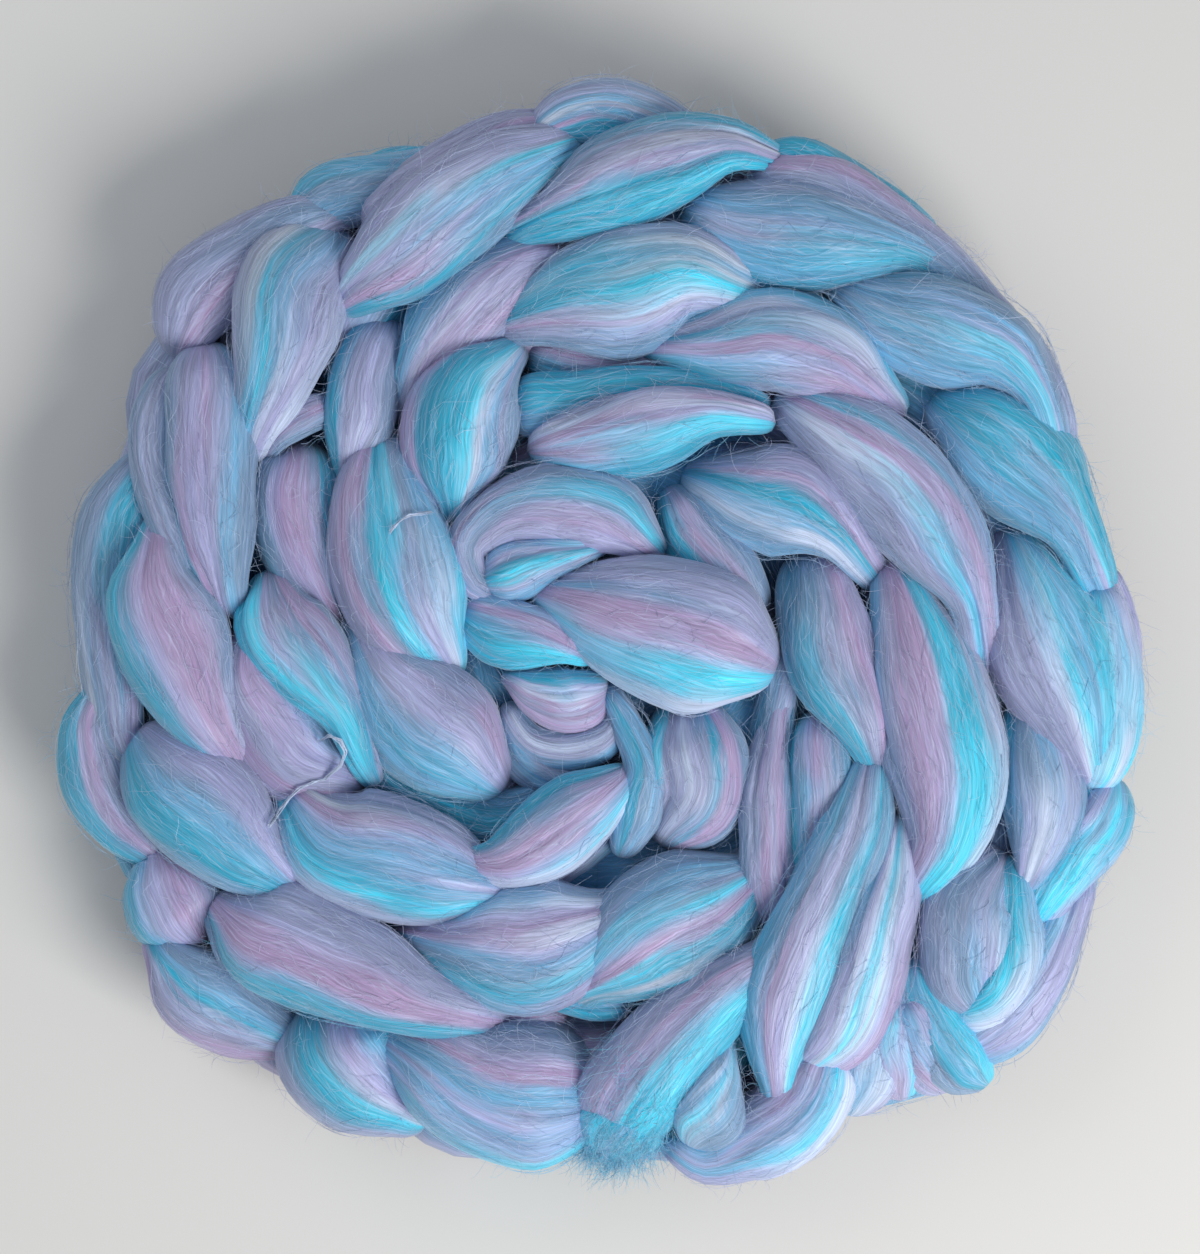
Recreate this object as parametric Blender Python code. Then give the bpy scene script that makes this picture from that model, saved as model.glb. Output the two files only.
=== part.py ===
"""Braid of wool roving: one length of combed top, worked into a chain of loops and coiled flat.

Metres, +Z up. The origin is on the surface that the coil rests on, under the middle of the coil.
The chain is coiled clockwise, seen from above, from its loose end at -Y in towards the middle.
Each loop of the chain shows as legs: plump lengths of roving, pinched where they pass under others.
"""

import math
from collections import namedtuple

import bmesh
import bpy
import numpy as np
from mathutils import Vector

MM = 0.001

# The roving itself.
FLATNESS = 0.85  # a leg's thickness as a share of its width
FULLNESS = 1.10  # the wool stands out a little past the width that shows between its neighbours
LEAST_END = 0.40  # width of a leg's first and last knots at least, as a share of its greatest
BLUNT = 0.62  # an end that is at least this wide, as a share of the greatest width, is a nose that shows
OVERSHOOT = 0.12  # how far a leg runs past its first and last knots, as a share of its greatest width
HIDDEN_RUN, HIDDEN_DIVE = 0.45, 15.0  # how much farther, and how much lower in mm, for each share under blunt
ROUNDING, TAPERING = 0.55, 1.1  # length of its nose there, as a share of its width, and what a hidden end adds
NOSE_DROP = 0.8  # how far a nose bends down, as a share of the leg's half thickness

# The bed of hidden legs that the coil rests on, by rule along the chain's middle as it winds inwards.
Wind = namedtuple("Wind", "turns radius")
WINDING = (Wind(0.0, 116), Wind(0.5, 116), Wind(0.65, 111), Wind(0.8, 116), Wind(1.15, 84), Wind(1.8, 80),
           Wind(2.2, 44), Wind(2.8, 34), Wind(3.1, 8))
WINDING_START = -95.0  # bearing of the loose end, degrees
BED_STEP = 40.0  # between loops along the chain, mm
BED_LENGTH, BED_WIDTH, BED_TOP = 54.0, 31.0, 24.8
BED_SPREAD = 13.0  # either side of the chain's middle, mm
BED_SLANT = 17.0  # degrees

# The packed heart of the coil, which closes the gaps between the legs.
CORE_RADIUS, CORE_LOW, CORE_HIGH = 122.0, 5.0, 29.0

# The dyed wool, as one colour.
WOOL_COLOUR = (0.32, 0.47, 0.66, 1.0)
WOOL_ROUGHNESS = 0.6

LEG_SIDES, LEG_STATIONS = 14, 12
BED_SIDES, BED_STATIONS = 10, 7

SKIN = 2.3  # the even skin's cell, mm
TRIANGLES = 11600
RESTING = 0.05  # lower than this the wool lies flat on the surface, mm

# One row for each leg that shows, clockwise round the coil: the knots that its middle passes, each with its place
# in the plan, the leg's width there and the height of its crown, in mm.
PATHS = {
    "tail": ((46, -87, 10, 43), (28, -101, 22, 49), (14, -116, 26, 50),
             (4, -131, 27, 47), (-1, -142, 25, 38.5)),
    "tail_tip": ((6, -128, 12, 40), (2, -136, 25, 43), (-1, -145, 24, 37)),
    "curl": ((31, -115, 7, 42), (29, -123, 15, 46), (27, -133, 20, 49), (24, -141, 16, 45)),
    "end_bed": ((66, -122, 20, 26), (34, -131, 30, 27), (0, -137, 22, 26)),
    "end_loop": ((60, -116, 18, 46), (56, -127, 22, 45), (48, -136, 23, 43),
                 (37, -141, 21, 41), (26, -146, 14, 38), (18, -142, 10, 36)),
    "end_leg_in": ((72, -37, 12, 44), (69, -50, 19, 50), (62, -67, 23, 52), (54, -85, 25, 52),
                   (48, -103, 25, 50), (46, -116, 17, 47), (46, -126, 7, 43)),
    "end_leg_out": ((79, -54, 9, 44), (77, -68, 17, 49), (73, -82, 21, 51),
                    (69, -97, 23, 51), (62, -111, 22, 49), (54, -119, 14, 45)),
    "outer_01": ((-4, -130, 36, 43), (-21, -128, 40, 48), (-37, -125, 34, 49),
                 (-50, -118, 25, 47), (-58, -114, 12, 41)),
    "outer_02": ((-38, -105, 4, 47), (-52, -101, 18, 51), (-68, -94, 27, 53),
                 (-85, -87, 30, 53), (-100, -81, 24, 49), (-106, -77, 13, 44)),
    "outer_03": ((-90, -69, 12, 45), (-99, -62, 23, 51), (-109, -51, 31, 53),
                 (-120, -40, 29, 51), (-129, -30, 19, 45)),
    "outer_04": ((-105, -32, 7, 46), (-112, -21, 21, 51), (-119, -4, 31, 53),
                 (-125, 13, 25, 51), (-125, 26, 12, 45)),
    "outer_05": ((-105, 9, 9, 46), (-108, 27, 19, 50), (-110, 47, 24, 50),
                 (-111, 64, 23, 48), (-112, 78, 20, 43)),
    "outer_06": ((-99, 54, 6, 45), (-94, 67, 19, 50), (-90, 83, 28, 53),
                 (-86, 98, 29, 51), (-76, 111, 24, 43)),
    "outer_07": ((-72, 92, 15, 47), (-59, 102, 25, 53), (-45, 115, 28, 54),
                 (-29, 126, 24, 52), (-12, 134, 12, 45)),
    "outer_08": ((-26, 111, 6, 44), (-12, 117, 17, 51), (1, 123, 25, 53),
                 (18, 130, 23, 53), (34, 133, 14, 51), (43, 131, 7, 46)),
    "outer_09": ((23, 117, 17, 44), (37, 111, 26, 50), (54, 109, 29, 53),
                 (70, 107, 20, 51), (82, 105, 12, 46), (95, 100, 6, 40)),
    "outer_10": ((65, 94, 11, 44), (76, 88, 23, 50), (92, 83, 29, 53),
                 (109, 76, 22, 52), (118, 65, 12, 49), (122, 55, 5, 46)),
    "outer_11": ((92, 63, 18, 44), (102, 56, 28, 50), (116, 42, 30, 52),
                 (127, 28, 17, 51), (133, 16, 5, 46)),
    "outer_12": ((112, 23, 16, 44), (116, 9, 28, 50), (122, -8, 34, 52),
                 (128, -23, 25, 50), (132, -37, 13, 45)),
    "outer_13": ((133, 13, 14, 42), (136, -2, 19, 45), (137, -19, 19, 46),
                 (136, -32, 18, 45), (133, -43, 14, 42)),
    "outer_14": ((114, -22, 13, 42), (118, -35, 21, 46), (120, -49, 22, 48),
                 (118, -61, 16, 46), (115, -70, 8, 43)),
    "outer_15": ((107, -63, 14, 43), (99, -72, 24, 49), (97, -85, 24, 50),
                 (98, -97, 21, 47), (101, -104, 13, 42)),
    "outer_16": ((110, -65, 9, 43), (110, -78, 15, 46), (110, -90, 18, 46),
                 (104, -101, 17, 45), (95, -106, 12, 40)),
    "outer_17": ((139, -42, 15, 41), (134, -53, 19, 43), (127, -63, 19, 43),
                 (121, -73, 16, 42), (117, -81, 12, 39)),
    "outer_18": ((83, -91, 9, 40), (86, -102, 15, 43), (92, -112, 17, 43),
                 (100, -121, 16, 40), (104, -125, 12, 35)),
    "fan_01": ((72, -107, 15, 41), (69, -120, 22, 41), (67, -133, 22, 36)),
    "fan_02": ((78, -101, 13, 42), (79, -115, 22, 42), (82, -129, 23, 36)),
    "fan_03": ((81, -101, 13, 42), (88, -114, 21, 42), (95, -126, 21, 36)),
    "fan_04": ((55, -130, 12, 26), (67, -127, 16, 28), (82, -123, 16, 29),
               (95, -119, 16, 29), (106, -112, 13, 26)),
    "outer_20": ((130, -68, 11, 36), (124, -82, 15, 40), (117, -96, 19, 41),
                 (108, -108, 20, 41), (98, -116, 16, 36)),
    "rim_01": ((-57, -134, 16, 34), (-67, -127, 29, 40), (-75, -117, 35, 43), (-79, -103, 34, 39)),
    "rim_02": ((-89, -114, 14, 30), (-104, -107, 24, 35), (-116, -98, 24, 38), (-125, -87, 10, 35)),
    "rim_03": ((-114, -85, 20, 37), (-119, -78, 27, 41), (-123, -70, 25, 40), (-126, -62, 15, 36)),
    "rim_04": ((-126, -63, 10, 33), (-136, -53, 17, 37), (-143, -39, 20, 39),
               (-145, -26, 16, 38), (-141, -16, 10, 36)),
    "rim_06": ((-132, -36, 8, 36), (-136, -28, 15, 38), (-137, -19, 17, 39), (-139, -2, 19, 38),
               (-139, 16, 21, 39), (-136, 32, 21, 38), (-128, 49, 13, 35)),
    "rim_07": ((-115, 14, 6, 43), (-120, 28, 12, 44), (-125, 45, 15, 43),
               (-125, 60, 14, 40), (-122, 72, 10, 34)),
    "rim_08": ((-120, 79, 14, 37), (-114, 92, 23, 42), (-100, 104, 20, 43),
               (-84, 113, 15, 42), (-73, 116, 8, 39)),
    "rim_09": ((-88, 113, 8, 35), (-80, 119, 17, 40), (-67, 123, 18, 41),
               (-52, 127, 14, 39), (-43, 131, 10, 35)),
    "rim_10": ((-20, 138, 10, 42), (-12, 142, 16, 45), (-1, 144, 17, 46),
               (12, 141, 15, 44), (27, 134, 8, 38)),
    "rim_11": ((38, 131, 7, 36), (50, 130, 13, 42), (63, 125, 13, 42), (77, 118, 9, 40), (88, 111, 5, 36)),
    "rim_12": ((39, 125, 13, 43), (58, 122, 17, 46), (75, 113, 15, 45),
               (91, 102, 14, 43), (105, 87, 13, 41), (113, 73, 11, 38)),
    "rim_13": ((117, 64, 8, 38), (122, 53, 12, 42), (126, 39, 13, 43), (128, 25, 12, 42), (133, 13, 9, 40)),
    "rim_14": ((135, 17, 9, 36), (139, 5, 12, 39), (142, -10, 10, 39), (143, -27, 9, 37)),
    "rim_15": ((-72, 127, 6, 30), (-61, 130, 8, 33), (-48, 131, 7, 31)),
    "rim_16": ((-67, 113, 11, 41), (-56, 121, 16, 44), (-43, 130, 15, 45),
               (-27, 138, 13, 43), (-16, 141, 9, 38)),
    "rim_17": ((-103, -94, 9, 37), (-106, -85, 11, 40), (-110, -75, 9, 38)),
    "second_01": ((39, -68, 18, 43), (28, -75, 31, 49), (14, -82, 34, 52),
                  (0, -92, 23, 50), (-7, -97, 9, 44)),
    "second_02": ((0, -78, 15, 44), (-10, -83, 30, 50), (-25, -87, 36, 53),
                  (-40, -87, 25, 51), (-50, -85, 9, 44)),
    "second_03": ((-31, -71, 12, 45), (-45, -67, 26, 51), (-61, -62, 32, 53),
                  (-76, -57, 29, 50), (-87, -46, 14, 44)),
    "second_04": ((-71, -42, 16, 40), (-86, -36, 26, 44), (-94, -25, 27, 46),
                  (-100, -12, 18, 46), (-100, -3, 9, 42)),
    "second_05": ((-67, -37, 6, 44), (-73, -22, 14, 49), (-83, -8, 23, 52),
                  (-92, 5, 21, 50), (-94, 14, 13, 44)),
    "second_06": ((-77, 6, 7, 38), (-84, 20, 20, 43), (-88, 36, 23, 45), (-87, 51, 21, 42)),
    "second_07": ((-73, 43, 6, 37), (-70, 56, 17, 43), (-67, 71, 20, 44), (-62, 86, 15, 38)),
    "second_08": ((-56, 63, 4, 37), (-52, 73, 14, 43), (-45, 84, 24, 46),
                  (-34, 95, 24, 46), (-21, 103, 14, 43), (-12, 105, 9, 39)),
    "second_09": ((-27, 86, 15, 44), (-12, 91, 27, 51), (4, 94, 34, 53), (21, 98, 26, 52), (37, 94, 7, 46)),
    "second_10": ((14, 79, 11, 43), (29, 79, 22, 50), (45, 80, 28, 53), (62, 76, 24, 52), (76, 65, 9, 45)),
    "second_11": ((50, 63, 15, 45), (65, 53, 25, 53), (79, 40, 30, 55),
                  (92, 23, 25, 54), (100, 7, 13, 51), (102, -3, 4, 47)),
    "second_12": ((78, 15, 15, 46), (83, -2, 26, 52), (89, -21, 31, 54),
                  (93, -41, 29, 54), (91, -59, 19, 51), (85, -70, 6, 46)),
    "second_13": ((-94, 50, 5, 40), (-87, 57, 10, 43), (-77, 63, 12, 40)),
    "second_14": ((-16, -101, 6, 36), (-7, -102, 9, 38), (5, -103, 7, 36)),
    "inner_01": ((48, -14, 5, 34), (46, -28, 10, 39), (43, -43, 14, 44),
                 (43, -60, 14, 44), (44, -74, 15, 42), (45, -82, 14, 38)),
    "inner_02": ((57, -24, 14, 41), (57, -38, 17, 45), (56, -54, 13, 44), (53, -72, 8, 40)),
    "inner_03": ((55, 20, 18, 43), (59, 3, 24, 50), (63, -13, 25, 52), (69, -26, 16, 50), (72, -34, 7, 45)),
    "inner_04": ((25, 42, 14, 42), (36, 38, 25, 50), (50, 35, 29, 53), (62, 27, 17, 50), (70, 18, 7, 44)),
    "inner_05": ((-19, 51, 12, 46), (-4, 53, 20, 51), (12, 56, 23, 53), (29, 59, 14, 53), (40, 58, 9, 50)),
    "inner_06": ((-27, 62, 18, 42), (-10, 64, 14, 44), (7, 67, 13, 45), (26, 67, 9, 44), (40, 64, 5, 42)),
    "inner_07": ((-43, 34, 10, 42), (-43, 45, 26, 50), (-41, 58, 29, 52),
                 (-35, 69, 24, 50), (-28, 76, 14, 44)),
    "inner_08": ((-47, -9, 17, 45), (-54, 3, 29, 53), (-60, 20, 34, 54),
                 (-63, 36, 28, 50), (-64, 51, 18, 43)),
    "inner_09": ((-33, -41, 18, 46), (-44, -31, 31, 52), (-54, -21, 32, 53),
                 (-63, -10, 20, 50), (-68, -2, 9, 44)),
    "inner_10": ((3, -40, 11, 46), (-7, -48, 19, 50), (-19, -57, 21, 51),
                 (-32, -63, 13, 49), (-38, -63, 6, 46)),
    "inner_11": ((-16, -45, 9, 36), (-29, -52, 16, 37), (-43, -50, 17, 36),
                 (-56, -45, 13, 34), (-67, -37, 8, 32)),
    "inner_12": ((-24, 78, 13, 34), (-12, 75, 14, 38), (4, 74, 13, 38), (18, 74, 10, 36)),
    "heart_01": ((-17, 11, 10, 44), (-6, 7, 25, 52), (12, 2, 35, 57), (30, -4, 36, 58), (42, -9, 25, 54)),
    "heart_02": ((-27, 9, 6, 38), (-37, 13, 10, 43), (-40, 23, 12, 46), (-32, 32, 16, 49),
                 (-15, 36, 21, 51), (1, 32, 20, 50), (12, 23, 11, 45)),
    "heart_03": ((-34, 14, 13, 45), (-27, 16, 16, 47), (-16, 20, 12, 48), (-4, 23, 4, 46)),
    "heart_04": ((-41, 6, 12, 42), (-30, 1, 19, 47), (-18, -2, 15, 48), (-9, -6, 7, 45)),
    "heart_05": ((-2, -15, 14, 42), (-11, -18, 17, 45), (-21, -16, 13, 44), (-27, -13, 8, 41)),
    "heart_06": ((4, -19, 7, 37), (-1, -28, 10, 40), (-12, -32, 11, 41),
                 (-22, -30, 10, 40), (-29, -21, 7, 37)),
    "heart_07": ((-28, -22, 6, 35), (-26, -33, 10, 38), (-16, -40, 10, 38), (-4, -40, 7, 35)),
    "heart_08": ((16, -56, 18, 42), (23, -46, 28, 48), (23, -34, 30, 49), (21, -21, 25, 44)),
    "heart_09": ((3, -61, 9, 40), (7, -50, 13, 44), (10, -38, 10, 44), (6, -27, 9, 42), (-1, -16, 7, 38)),
    "heart_10": ((17, 38, 12, 39), (23, 28, 20, 43), (32, 17, 17, 44), (40, 6, 11, 40)),
    "heart_11": ((50, 2, 7, 36), (47, -16, 10, 38), (44, -30, 12, 38), (38, -44, 6, 36)),
    "heart_12": ((10, -30, 9, 33), (-1, -34, 10, 35), (-14, -34, 8, 34)),
}


def clear_scene():
    for obj in list(bpy.data.objects):
        bpy.data.objects.remove(obj, do_unlink=True)


def unit(v):
    return v / np.maximum(np.linalg.norm(v, axis=-1, keepdims=True), 1e-9)


def full_knots(path):
    """The knots at full width, with one more past each end, under the neighbours, and how long its noses are."""
    knots = np.array(path, float)
    knots[:, 2] *= FULLNESS
    width = knots[:, 2].max()
    ends, noses = [], []
    for end, inner in ((0, 1), (-1, -2)):
        narrow = max(0.0, BLUNT - knots[end, 2] / width)
        knots[end, 2] = max(knots[end, 2], LEAST_END * width)
        way = unit(knots[end, :2] - knots[inner, :2])
        run = (OVERSHOOT + HIDDEN_RUN * narrow) * width
        ends.append([*(knots[end, :2] + way * run), knots[end, 2], knots[end, 3] - 1 - HIDDEN_DIVE * narrow])
        noses.append((ROUNDING + TAPERING * narrow) * knots[end, 2])
    return np.vstack([ends[0], knots, ends[1]]), noses


def along_leg(knots, t):
    """Place, width and crown at each t from 0 to 1 on a smooth curve through the knots, and the way along it."""
    gaps = np.maximum(np.linalg.norm(np.diff(knots[:, :2], axis=0), axis=1), 0.5)
    place = np.concatenate([[0], np.cumsum(gaps)])
    slopes = np.gradient(knots, place, axis=0)
    at = np.clip(t, 0, 1) * place[-1]
    section = np.clip(np.searchsorted(place, at, side="right") - 1, 0, len(gaps) - 1)
    span = gaps[section][:, None]
    s = ((at - place[section]) / gaps[section])[:, None]
    a, b = knots[section], knots[section + 1]
    m, n = slopes[section] * span, slopes[section + 1] * span
    value = (2 * s**3 - 3 * s**2 + 1) * a + (s**3 - 2 * s**2 + s) * m + (3 * s**2 - 2 * s**3) * b + (s**3 - s**2) * n
    return value, at, place[-1]


def add_leg(mesh, path, sides, stations):
    """Adds one leg to the mesh as upright rings, joined from end to end and closing over a nose at each end."""
    knots, noses = full_knots(path)
    even = np.linspace(0, 1, stations + 1)
    t = 0.35 * even + 0.65 * (0.5 - 0.5 * np.cos(math.pi * even))
    value, at, length = along_leg(knots, t)
    ahead = unit(along_leg(knots, t + 0.01)[0][:, :2] - along_leg(knots, t - 0.01)[0][:, :2])
    near = np.clip(at / noses[0], 0, 1)
    far = np.clip((length - at) / noses[1], 0, 1)
    closing = np.sqrt(1 - (1 - near) ** 2) * np.sqrt(1 - (1 - far) ** 2)
    half = np.maximum(value[:, 2], 3.0) / 2
    height = value[:, 3] - half * FLATNESS * (1 + NOSE_DROP * (1 - closing))
    half = half * (0.04 + 0.96 * closing)
    rings = []
    for station in range(stations + 1):
        ring = []
        for side in range(sides):
            turn = 2 * math.pi * (side + 0.5) / sides
            sideways = math.cos(turn) * half[station]
            x = value[station, 0] + ahead[station, 1] * sideways
            y = value[station, 1] - ahead[station, 0] * sideways
            z = height[station] + math.sin(turn) * half[station] * FLATNESS
            ring.append(mesh.verts.new(Vector((x, y, z)) * MM))
        rings.append(ring)
    for before, after in zip(rings, rings[1:]):
        for side in range(sides):
            beside = (side + 1) % sides
            mesh.faces.new((before[side], before[beside], after[beside], after[side]))
    mesh.faces.new(list(reversed(rings[0])))
    mesh.faces.new(rings[-1])


def object_from(mesh, name):
    bmesh.ops.recalc_face_normals(mesh, faces=mesh.faces)
    data = bpy.data.meshes.new(name)
    mesh.to_mesh(data)
    mesh.free()
    obj = bpy.data.objects.new(name, data)
    bpy.context.scene.collection.objects.link(obj)
    return obj


def bed_paths():
    """The legs of the hidden lower side, two to each loop, laid in a V along the winding."""
    turns = 0.0
    while turns < WINDING[-1].turns:
        radius = float(np.interp(turns, [w.turns for w in WINDING], [w.radius for w in WINDING]))
        bearing = math.radians(WINDING_START) - turns * 2 * math.pi
        outward = np.array([math.cos(bearing), math.sin(bearing)])
        onward = np.array([math.sin(bearing), -math.cos(bearing)])
        for side in (1, -1):
            slant = math.radians(BED_SLANT) * side
            along = (onward * math.cos(slant) + outward * math.sin(slant)) * BED_LENGTH / 2
            middle = outward * (radius + side * BED_SPREAD)
            yield [(*(middle + along * step), width, BED_TOP - 2 * abs(step))
                   for step, width in ((-1, BED_WIDTH * 0.6), (0, BED_WIDTH), (1, BED_WIDTH * 0.6))]
        turns += BED_STEP / (2 * math.pi * radius)


def wool():
    material = bpy.data.materials.new("dyed_wool")
    material.use_nodes = True
    shader = material.node_tree.nodes["Principled BSDF"]
    shader.inputs["Base Color"].default_value = WOOL_COLOUR
    shader.inputs["Roughness"].default_value = WOOL_ROUGHNESS
    return material


def core():
    """The packed middle of the coil."""
    bpy.ops.mesh.primitive_cylinder_add(
        vertices=40,
        radius=CORE_RADIUS * MM,
        depth=(CORE_HIGH - CORE_LOW) * MM,
        location=(0, 0, (CORE_LOW + CORE_HIGH) / 2 * MM),
    )
    obj = bpy.context.object
    obj.name = "core"
    return obj


def solid_of(obj):
    """The object's shape with its modifiers, in place in the world."""
    bpy.context.view_layer.update()
    data = bpy.data.meshes.new_from_object(obj.evaluated_get(bpy.context.evaluated_depsgraph_get()))
    data.transform(obj.matrix_world)
    return data


def triangles(data):
    data.calc_loop_triangles()
    return len(data.loop_triangles)


def keep_outer_shell(mesh):
    """Keeps the largest shell, and removes the specks that the base cut leaves and any sealed hollow."""
    unseen, shells = set(mesh.verts), []
    while unseen:
        shell, edge_of_shell = set(), [unseen.pop()]
        while edge_of_shell:
            vert = edge_of_shell.pop()
            shell.add(vert)
            for link in vert.link_edges:
                other = link.other_vert(vert)
                if other in unseen:
                    unseen.remove(other)
                    edge_of_shell.append(other)
        shells.append(shell)
    largest = max(shells, key=len)
    for shell in shells:
        if shell is not largest:
            bmesh.ops.delete(mesh, geom=list(shell), context="VERTS")


def build():
    clear_scene()
    legs = bpy.data.collections.new("legs")
    for name, path in PATHS.items():
        mesh = bmesh.new()
        add_leg(mesh, path, LEG_SIDES, LEG_STATIONS)
        legs.objects.link(object_from(mesh, "leg_" + name))
    for number, path in enumerate(bed_paths()):
        mesh = bmesh.new()
        add_leg(mesh, path, BED_SIDES, BED_STATIONS)
        legs.objects.link(object_from(mesh, f"bed_{number:02d}"))

    # Everything joined, skinned evenly so that the creases between legs are clean, cut flat where the
    # lowest legs rest, and then thinned out.
    whole = core()
    join = whole.modifiers.new("join", "BOOLEAN")
    join.operation, join.solver = "UNION", "EXACT"
    join.operand_type, join.collection = "COLLECTION", legs
    skin = whole.modifiers.new("skin", "REMESH")
    skin.mode, skin.voxel_size = "VOXEL", SKIN * MM
    bpy.ops.mesh.primitive_cube_add(size=1, location=(0, 0, -0.25), scale=(1, 1, 0.5))
    surface = bpy.context.object
    rest = whole.modifiers.new("rest", "BOOLEAN")
    rest.operation, rest.solver, rest.object = "DIFFERENCE", "EXACT", surface
    thin = whole.modifiers.new("thin", "DECIMATE")
    thin.ratio = 1.0
    thin.ratio = TRIANGLES / triangles(solid_of(whole))

    braid = bmesh.new()
    braid.from_mesh(solid_of(whole))
    bmesh.ops.triangulate(braid, faces=braid.faces)
    keep_outer_shell(braid)
    for vert in braid.verts:
        if vert.co.z < RESTING * MM:
            vert.co.z = 0
    low = [min(v.co[axis] for v in braid.verts) for axis in range(3)]
    high = [max(v.co[axis] for v in braid.verts) for axis in range(3)]
    middle = Vector(((low[0] + high[0]) / 2, (low[1] + high[1]) / 2, low[2]))
    bmesh.ops.translate(braid, verts=braid.verts, vec=-middle)

    for obj in [whole, surface, *legs.objects]:
        bpy.data.objects.remove(obj, do_unlink=True)
    bpy.data.collections.remove(legs)
    finished = object_from(braid, "braid")
    finished.data.materials.append(wool())
    finished.data.shade_smooth()


build()
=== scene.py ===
"""The look of the braid of wool roving: fibrous, space-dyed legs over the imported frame, on a pale floor.

The legs follow the same rows as the solid's source, in mm, with creases, stripes of dye and loose fibres.
"""

import math
from collections import namedtuple

import bpy
import numpy as np
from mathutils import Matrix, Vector


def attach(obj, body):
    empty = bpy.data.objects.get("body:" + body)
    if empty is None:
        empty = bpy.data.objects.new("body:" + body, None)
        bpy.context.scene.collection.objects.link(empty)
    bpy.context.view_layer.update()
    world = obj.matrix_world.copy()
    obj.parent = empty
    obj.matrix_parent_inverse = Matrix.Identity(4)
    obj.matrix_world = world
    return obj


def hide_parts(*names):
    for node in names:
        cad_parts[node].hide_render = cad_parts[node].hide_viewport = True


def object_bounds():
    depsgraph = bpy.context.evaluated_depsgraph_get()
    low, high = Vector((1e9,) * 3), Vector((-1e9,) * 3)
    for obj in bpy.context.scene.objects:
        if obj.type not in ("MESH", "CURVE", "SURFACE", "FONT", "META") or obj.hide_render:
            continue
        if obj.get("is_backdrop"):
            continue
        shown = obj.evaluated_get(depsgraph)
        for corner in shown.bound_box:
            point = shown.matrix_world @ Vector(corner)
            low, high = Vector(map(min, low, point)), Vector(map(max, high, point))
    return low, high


MM = 0.001

# From the middle of the rows' plan to the middle of the frame, mm.
SHIFT = (3.44, 0.02)

# The roving. A share is one of a leg's greatest width, unless the line says otherwise.
FLATNESS = 0.85  # a leg's thickness as a share of its width
FULLNESS = 1.10  # the wool stands out a little past the width that shows between its neighbours
LEAST_END = 0.40  # width of a leg's first and last knots at least
BLUNT = 0.62  # an end that is at least this wide is a nose that shows
OVERSHOOT, END_DROP = 0.12, 1.0  # how far a leg runs past its outer knots, and how much lower in mm
HIDDEN_RUN, HIDDEN_DIVE = 0.45, 15.0  # how much more of each, for each share under blunt
ROUNDING, TAPERING = 0.55, 1.1  # length of a nose as a share of its own width, and what hiding adds to it
NOSE_DROP, NOSE_TIP = 0.8, 0.04  # its bend down in half thicknesses, and the share of width left at its tip
LEAST_GAP, LEAST_WIDTH = 0.5, 3.0  # between knots, and of a leg, mm
GLANCE = 0.01  # how far to either side a leg's direction is read, as a share of its length

# The lower wool, where each leg runs on under its neighbours.
LOWER_BY, LOWER_WIDTH, LOWER_REACH = 17.0, 0.90, 0.20  # mm, and shares of the leg's greatest width
LOWER_TURN, LOWER_INWARD = 10.0, 0.965  # degrees, and a share of the distance from the middle
LOWER_EVEN = 0.5  # how far its width is evened out along it
# Legs with none like them there.
UPPER_ONLY = ("tail_tip", "curl", "end_bed", "fan_01", "fan_02", "fan_03", "fan_04", "outer_18")

# The bed of lower legs, by rule along the chain's middle as it winds inwards.
Wind = namedtuple("Wind", "turns radius")
WINDING = (Wind(0.0, 116), Wind(0.5, 116), Wind(0.65, 111), Wind(0.8, 116), Wind(1.15, 84), Wind(1.8, 80),
           Wind(2.2, 44), Wind(2.8, 34), Wind(3.1, 8))
WINDING_START = -95.0  # bearing of the loose end, degrees
BED_STEP = 40.0  # between loops along the chain, mm
BED_LENGTH, BED_WIDTH, BED_TOP = 54.0, 31.0, 24.8
BED_END_WIDTH, BED_END_DROP = 0.6, 2.0  # a share of the width, and mm
BED_SPREAD = 13.0  # either side of the chain's middle, mm
BED_SLANT = 17.0  # degrees
BED_STRIPES = ("LGVBL", "GTLDG", "VLMBV", "BGDTL", "LMVGL")

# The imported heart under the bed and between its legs.
CORE_RADIUS, CORE_LOW, CORE_HIGH = 122.0, 5.0, 29.0
CORE_HOLE, CORE_EDGE = 0.5, 1.0  # radius left open in its middle, and height left at its rim, mm
CORE_RINGS, CORE_STEPS, CORE_SHOULDER = 9, 6, 6  # corners out and round, and the power by which it falls off
CORE_LUMP, CORE_CELL, CORE_SEED = 1.5, 9, 3  # its unevenness: height and width in mm, and seed
CORE_TURN, CORE_LAYER = 60, 900.0  # its place in the pattern of the fibres

# The dyes, as sRGB out of 255. Some stand in part for painted light, as marked.
DYES = {
    "T": (12, 166, 200),  # turquoise
    "C": (56, 216, 246),  # bright cyan, partly a painted highlight on lit crowns and noses
    "B": (106, 173, 214),  # light blue
    "G": (112, 146, 180),  # grey blue
    "L": (150, 156, 192),  # lilac grey
    "V": (168, 170, 214),  # lavender
    "M": (172, 148, 190),  # mauve pink
    "W": (198, 212, 238),  # undyed silk, partly a painted highlight of the sheen on lit crowns and noses
    "K": (182, 190, 206),  # cream, partly a painted highlight on lit crowns
    "D": (22, 110, 146),  # dark teal, painted shade for sides and low legs that lie in shadow
}

Leg = namedtuple("Leg", "knots stripes twist")
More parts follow.
